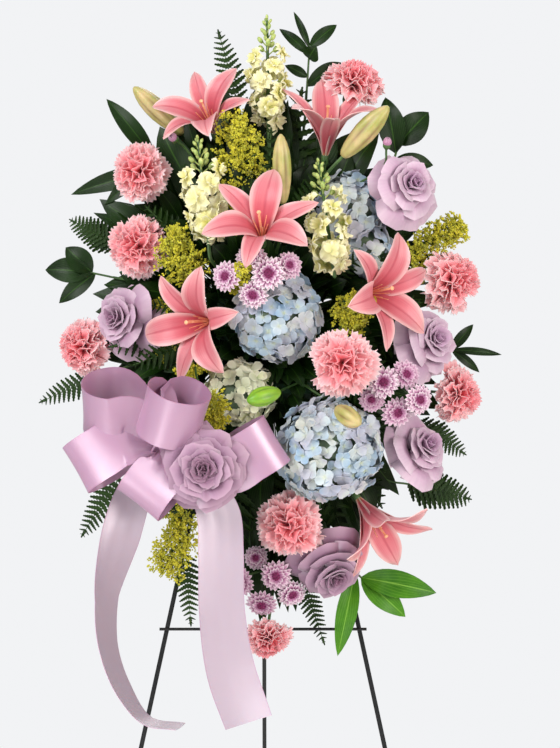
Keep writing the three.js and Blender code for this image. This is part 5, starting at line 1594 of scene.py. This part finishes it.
def stops_short(root, end):
    """The end of a green from its root, or the last place before the first bloom that it would enter."""
    way = end - root
    share = 1
    for middle, radius in BLOOMS:
        along = (middle - root).dot(way) / way.length_squared
        aside = (middle - root - way * along).length
        if along > 0 and aside < radius:
            share = min(share, along - math.sqrt(radius * radius - aside * aside) / way.length)
    return root + way * max(share, 0.2)


def greens_root(direction):
    """Where a green enters the foam, for a direction from the foam's middle."""
    shares = [half / max(abs(part), 1e-6) for half, part in zip(FOAM_HALF, direction)]
    return FOAM_ON_PLAN + direction * min(shares)


def inner_reach(direction, oval):
    """How far the greens reach from the foam's middle: an oval, flatter towards the viewer."""
    return 1 / math.sqrt(sum((part / half) ** 2 for part, half in zip(direction, oval)))


def clear_of_leg(end):
    """Brings a tip forward where the rear leg folds in behind it."""
    if abs(end.x - LEG_X) < 30:
        end.y = min(end.y, LEG_TOP_Y - LEG_SLOPE * (LEG_TOP_Z - end.z) - 14)
    return end


def stamp_green(model, direction, end, start_share, width, face, dice):
    """One leaf of the filling on its own twig, from the foam to its tip."""
    root = greens_root(direction)
    end = clear_of_leg(stops_short(root, end))
    start = root.lerp(end, start_share)
    stamp(model, leaf_blade(start, end, width, face, 4, 8))
    stamp(model, rod([root - direction * IN_FOAM, start + (end - start) * 0.1], 0.9, 1))


dice = random.Random(900)
greens = bmesh.new()
made = 0
while made < INNER_LEAVES:
    direction = Vector([dice.gauss(0, 1) for _ in range(3)]).normalized()
    if direction.y > 0.12:
        continue
    end = FOAM_ON_PLAN + direction * inner_reach(direction, INNER_OVAL) * dice.uniform(0.66, 1.0)
    if end.y > BEHIND:
        end.y = BEHIND - dice.uniform(0, 24)
    end += Vector([dice.uniform(-26, 26), dice.uniform(-12, 2), dice.uniform(-26, 26)])
    face = FRONT + Vector([dice.uniform(-0.6, 0.6), 0, dice.uniform(-0.3, 0.8)])
    stamp_green(greens, direction, end, dice.uniform(0.3, 0.65), dice.uniform(20, 36), face, dice)
    made += 1
for k in range(BACK_LEAVES):
    angle = k * GOLDEN_ANGLE
    out = 0.58 + 0.42 * (k / BACK_LEAVES) ** 0.6
    direction = Vector((math.sin(angle), -0.12, 1.3 * math.cos(angle))).normalized()
    end = FOAM_ON_PLAN + direction * inner_reach(direction, BACK_OVAL) * out * dice.uniform(0.92, 1.04)
    end.y = BEHIND - dice.uniform(4, 44)
    face = FRONT + Vector([dice.uniform(-0.35, 0.35), 0, dice.uniform(-0.2, 0.5)])
    stamp_green(greens, direction, end, 0.5, dice.uniform(34, 46), face, dice)
for x, z in LOOSE_LEAVES:
    end = Vector((x, BEHIND - dice.uniform(8, 40), z))
    for _ in range(3):
        tip = end + Vector((dice.uniform(-16, 16), dice.uniform(-8, 4), dice.uniform(-16, 16)))
        direction = (tip - FOAM_ON_PLAN).normalized()
        face = FRONT + Vector([dice.uniform(-0.35, 0.35), 0, dice.uniform(-0.2, 0.5)])
        stamp_green(greens, direction, tip, dice.uniform(0.12, 0.55), dice.uniform(26, 40), face, dice)
finish_piece(greens, "inner_leaves", [leaf_dark, stem_green])

fronds = bmesh.new()
for k in range(INNER_FRONDS):
    angle = 2 * math.pi * (k + dice.uniform(-0.3, 0.3)) / INNER_FRONDS
    direction = Vector((math.sin(angle), dice.uniform(-0.7, 0.02), 1.15 * math.cos(angle))).normalized()
    root = greens_root(direction)
    end = FOAM_ON_PLAN + direction * inner_reach(direction, FROND_OVAL) * dice.uniform(0.92, 1.08)
    end.y = min(end.y, BEHIND - 4)
    end = stops_short(root, end)
    start = root.lerp(end, 0.25)
    stamp(fronds, rod([root - direction * IN_FOAM, start + (end - start) * 0.1], 1.1, 1))
    stamp_frond(fronds, start, end, min(dice.uniform(62, 84), 0.6 * (end - start).length), dice, 11)
finish_piece(fronds, "inner_fronds", [fern_green, stem_green])

# %% [markdown]
# ## The ribbon bow
#
# The bow is one satin ribbon, 62 mm wide: five loops drawn together at a knot and two tails. Each loop is a
# roll, open at both ends, that leaves the knot gathered to a fraction of its width, with pleats that die
# out where it opens. The whole band is modelled as a thin sheet through stations, as a loom makes it, and
# then gets the thickness of the cloth. The knot is a short band of the same ribbon round the middle.

# %% Ribbon stations
RIBBON_WIDTH = 62
RIBBON_THICKNESS = 0.7
KNOT = Vector((-114, -226, -147))
LOOPS = [  # middle, way away from the knot, way along the roll, half length, half depth, degrees each way
    ((-176, -224, -97), (-1, 0, 0), (0, -0.52, 0.86), 35, 34, 125),
    ((-104, -252, -104), (0.55, -0.7, -0.5), (0.4, -0.6, 0.7), 36, 37, 158),
    ((-184, -230, -153), (-0.86, -0.05, -0.5), (0.5, -0.18, -0.85), 40, 18, 125),
    ((-124, -240, -186), (-0.62, -0.1, -0.78), (0.75, -0.2, -0.62), 34, 17, 125),
    ((-20, -230, -157), (0.85, -0.05, 0.5), (-0.49, -0.12, 0.87), 42, 20, 125),
]
TAILS = [  # x, y, z, degrees turned from facing the viewer, share of the width
    [
        (-118, -226, -150, 10, 0.3),
        (-150, -206, -196, 12, 0.7),
        (-170, -208, -256, 34, 0.88),
        (-186, -206, -326, 66, 0.95),
        (-184, -196, -390, 74, 1),
        (-166, -190, -440, 76, 1),
        (-138, -190, -476, 84, 1),
        (-98, -196, -482, 84, 1),
    ],
    [
        (-108, -224, -152, 0, 0.3),
        (-76, -222, -180, 0, 0.6),
        (-52, -222, -226, 6, 0.84),
        (-49, -222, -270, 12, 0.88),
        (-48, -220, -340, 16, 0.9),
        (-38, -212, -410, 12, 0.95),
        (-16, -206, -474, -8, 0.95),
    ],
]
LOOP_STEPS = 48
TAIL_STEPS = 44
RIBBON_COLUMNS = 12
PLEATS = 3.0
PLEAT_DEPTH = 8.0
GATHER = 44  # mm from the knot to where the ribbon has its full width
GATHERED_WIDTH = 0.22


def loop_stations(middle, away, across, long, deep, round_each_way):
    """Places, widths and directions across, out from the knot, once round a roll and back to the knot."""
    middle, away, wide = Vector(middle), Vector(away).normalized(), Vector(across)
    wide = (wide - away * wide.dot(away)).normalized()
    side = wide.cross(away)
    ring = [KNOT]
    for k in range(-3, 4):
        angle = math.radians(round_each_way * k / 3)
        ring.append(middle + away * long * math.cos(angle) + side * deep * math.sin(angle))
    path = through([*ring, KNOT], LOOP_STEPS)
    stations = []
    for place, way in zip(path, square_ways(path, wide)):
        opened = min(1, (place - KNOT).length / GATHER)
        share = GATHERED_WIDTH + (1 - GATHERED_WIDTH) * opened**1.2
        stations.append((place, way, RIBBON_WIDTH * share, (1 - opened) * share * PLEAT_DEPTH))
    return stations


def square_ways(path, wide):
    """The way across at each place of a path: square to the path, near wide, and changing slowly."""
    last = len(path) - 1
    runs = [(path[min(k + 1, last)] - path[max(k - 1, 0)]).normalized() for k in range(last + 1)]
    ways = [wide.copy() for _ in path]
    for _ in range(6):
        around = [ways[max(k - 1, 0)] + ways[k] + ways[min(k + 1, last)] for k in range(last + 1)]
        ways = [(way - run * way.dot(run)).normalized() for way, run in zip(around, runs)]
    return ways


def tail_stations(points):
    """Places, widths and directions across, down a tail."""
    path = through([point[:3] for point in points], TAIL_STEPS)
    stations = []
    for i, place in enumerate(path):
        spot = i * (len(points) - 1) / TAIL_STEPS
        k = min(int(spot), len(points) - 2)
        ease = spot - k
        angle = math.radians(points[k][3] + (points[k + 1][3] - points[k][3]) * ease)
        share = points[k][4] + (points[k + 1][4] - points[k][4]) * ease
        wide = Vector((math.cos(angle), math.sin(angle), 0))
        stations.append((place, wide, RIBBON_WIDTH * share, (1 - share) ** 1.5 * PLEAT_DEPTH * 0.7))
    return stations


def ribbon_strip(stations, curl):
    """A strip of ribbon through its stations, pleated where it is gathered and a little curled across."""
    rows = len(stations) - 1

    def place(across, along):
        k = round(along * rows)
        at, wide, width, pleat = stations[k]
        before, after = stations[max(k - 1, 0)][0], stations[min(k + 1, rows)][0]
        run = (after - before).normalized()
        wide = (wide - run * wide.dot(run)).normalized()
        out = run.cross(wide)
        ripple = pleat * math.sin(PLEATS * math.pi * across) * (1 - 0.4 * abs(across))
        return at + wide * across * width / 2 + out * (ripple + curl * across * across)

    return blade(RIBBON_COLUMNS, rows, RIBBON_THICKNESS, place)


# %% [markdown]
# Satin is woven so that most threads lie along one face. They are too fine to see from here, so the weave
# is drawn as fine ribs 0.6 mm apart. Light slides off those threads as off brushed metal: the highlight is
# a band across the ribbon, narrow along it, so the shader's tangent follows U. The tails are painted paler
# than the loops: painted light, for the white room's light that comes through their one layer of cloth,
# where in the loops cloth lies behind cloth.

# %% Satin
RIB_GAP = 0.6
THREADS = RIBBON_WIDTH / RIB_GAP

satin, tree, shader = new_finish("satin ribbon, orchid pink")
_, parts, across = on_blade(tree)
rib_wave = add_node(tree, "Math", {0: parts, 1: THREADS * 2 * math.pi}, operation="MULTIPLY")
ribs = add_node(tree, "Math", {0: rib_wave}, operation="SINE")
place = add_node(tree, "TexCoord", {}).outputs["Object"]
cloth = add_node(tree, "TexNoise", {"Vector": place, "Scale": 22.0, "Detail": 2.0})
# Painted light: the tails carry a tint of 1 and are painted paler, for the room's light through their single
# layer of satin.
light_through_tails = add_node(tree, "Attribute", {}, attribute_name="tint").outputs["Fac"]
ranged = {"Value": across, "From Min": 0.478, "From Max": 0.49, "To Max": 0.5}
edge = add_node(tree, "MapRange", ranged)
values = {
    "Tangent": add_node(tree, "Tangent", {}, direction_type="UV_MAP", uv_map="UVMap"),
    "Metallic": 0.1,
    "IOR": 1.8,
    "Roughness": 0.38,
    "Specular IOR Level": 1.0,
    "Anisotropic": 0.6,
    "Sheen Weight": 0.3,
    "Sheen Roughness": 0.35,
    "Subsurface Weight": 0.12,
    "Subsurface Scale": 0.003,
}
layers = [(cloth, "#BA8FAC"), (light_through_tails, "#AD99A9"), (edge, "#A66E97")]
woven = {"Height": ribs, "Strength": 0.12, "Distance": 0.0002}
paint(tree, shader, "#AF80A0", layers, values, woven)
print("The satin has", round(THREADS), "ribs across")

# %% The bow
KNOT_STEPS = 24
KNOT_RADIUS = 12
KNOT_WIDTH = 26
KNOT_PLEAT = 2.2
KNOT_ACROSS = Vector((0.87, 0, -0.5))

knot_stations = []
for i in range(KNOT_STEPS + 1):
    angle = 2 * math.pi * i / (KNOT_STEPS + 0.5)
    ring = Vector((0.5 * math.sin(angle), -math.cos(angle), 0.87 * math.sin(angle)))
    at = KNOT + ring * (KNOT_RADIUS + 0.04 * i)
    knot_stations.append((at, KNOT_ACROSS, KNOT_WIDTH, KNOT_PLEAT))

# The tails' tint of 1 paints them paler: painted light through their one layer of cloth.
strips = [(loop_stations(*loop), 1.2, 0.0) for loop in LOOPS]  # stations, curl across in mm, tint
strips += [(tail_stations(tail), 1.2, 1.0) for tail in TAILS]
strips.append((knot_stations, -2.0, 0.0))
bow_model = bmesh.new()
for stations, curl, tint in strips:
    stamp(bow_model, ribbon_strip(stations, curl), tint=tint)
bow = finish_piece(bow_model, "ribbon_bow_satin", [satin], ["ribbon_bow"])

# %% [markdown]
# ## The hard parts keep their solids
#
# The wires, the tray, the pick and the foam have their true shapes already, so they only get finishes:
# black enamel on steel wire, a moulded tray, a green-stained pick and open-celled floral foam.

# %% Enamel, plastic, wood and foam
enamel = green_finish("black enamel on steel wire", "#0E0F10", "#17191A", 220.0, 0.35)
moulded = green_finish("moulded polythene, dark green", "#16331F", "#1D3F27", 30.0, 0.45)
pick_wood = green_finish("birch pick, stained green", "#4E6A38", "#6A8448", 160.0, 0.75)

CELLS = 520.0  # about 2 mm apart: the real ones, of 0.3 mm, are too fine to show

foam, tree, shader = new_finish("floral foam, wet")
place = add_node(tree, "TexCoord", {}).outputs["Object"]
cells = add_node(tree, "TexVoronoi", {"Vector": place, "Scale": CELLS})
blotch = add_node(tree, "TexNoise", {"Vector": place, "Scale": 35.0, "Detail": 4.0})
pitted = {"Height": cells, "Strength": 0.6, "Distance": 0.001}
paint(tree, shader, "#234A30", [(blotch, "#356244"), (cells, "#1B3A26")], {"Roughness": 0.85}, pitted)

KEPT = {"foam_tray": moulded, "floral_foam": foam, "bow_pick": pick_wood}
for name in ("easel_leg_left", "easel_leg_right", "easel_rear_leg"):
    KEPT[name] = enamel
for name in ("easel_top_wire", "easel_hanger_wire", "easel_cross_wire"):
    KEPT[name] = enamel
for name, finish in KEPT.items():
    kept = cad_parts[name]
    kept.data.materials.clear()
    kept.data.materials.append(finish)
print(len(KEPT), "solids keep their shapes")

# %% [markdown]
# ## The last look
#
# The plain model's box was printed at the start; here the dressed spray's box is measured, and how far it
# reaches past each side of the plain one is printed. The dressed spray has to stay in the box of the plain
# model.

# %% Sizes and the end
visual_box = [list(corner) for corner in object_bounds()]
for side, axis in enumerate("xyz"):
    grown = (cad_box[0][side] - visual_box[0][side], visual_box[1][side] - cad_box[1][side])
    print(f"{axis}: {grown[0] * 1000:.1f} mm further out below, {grown[1] * 1000:.1f} mm above")
print(triangles_made, "triangles added")
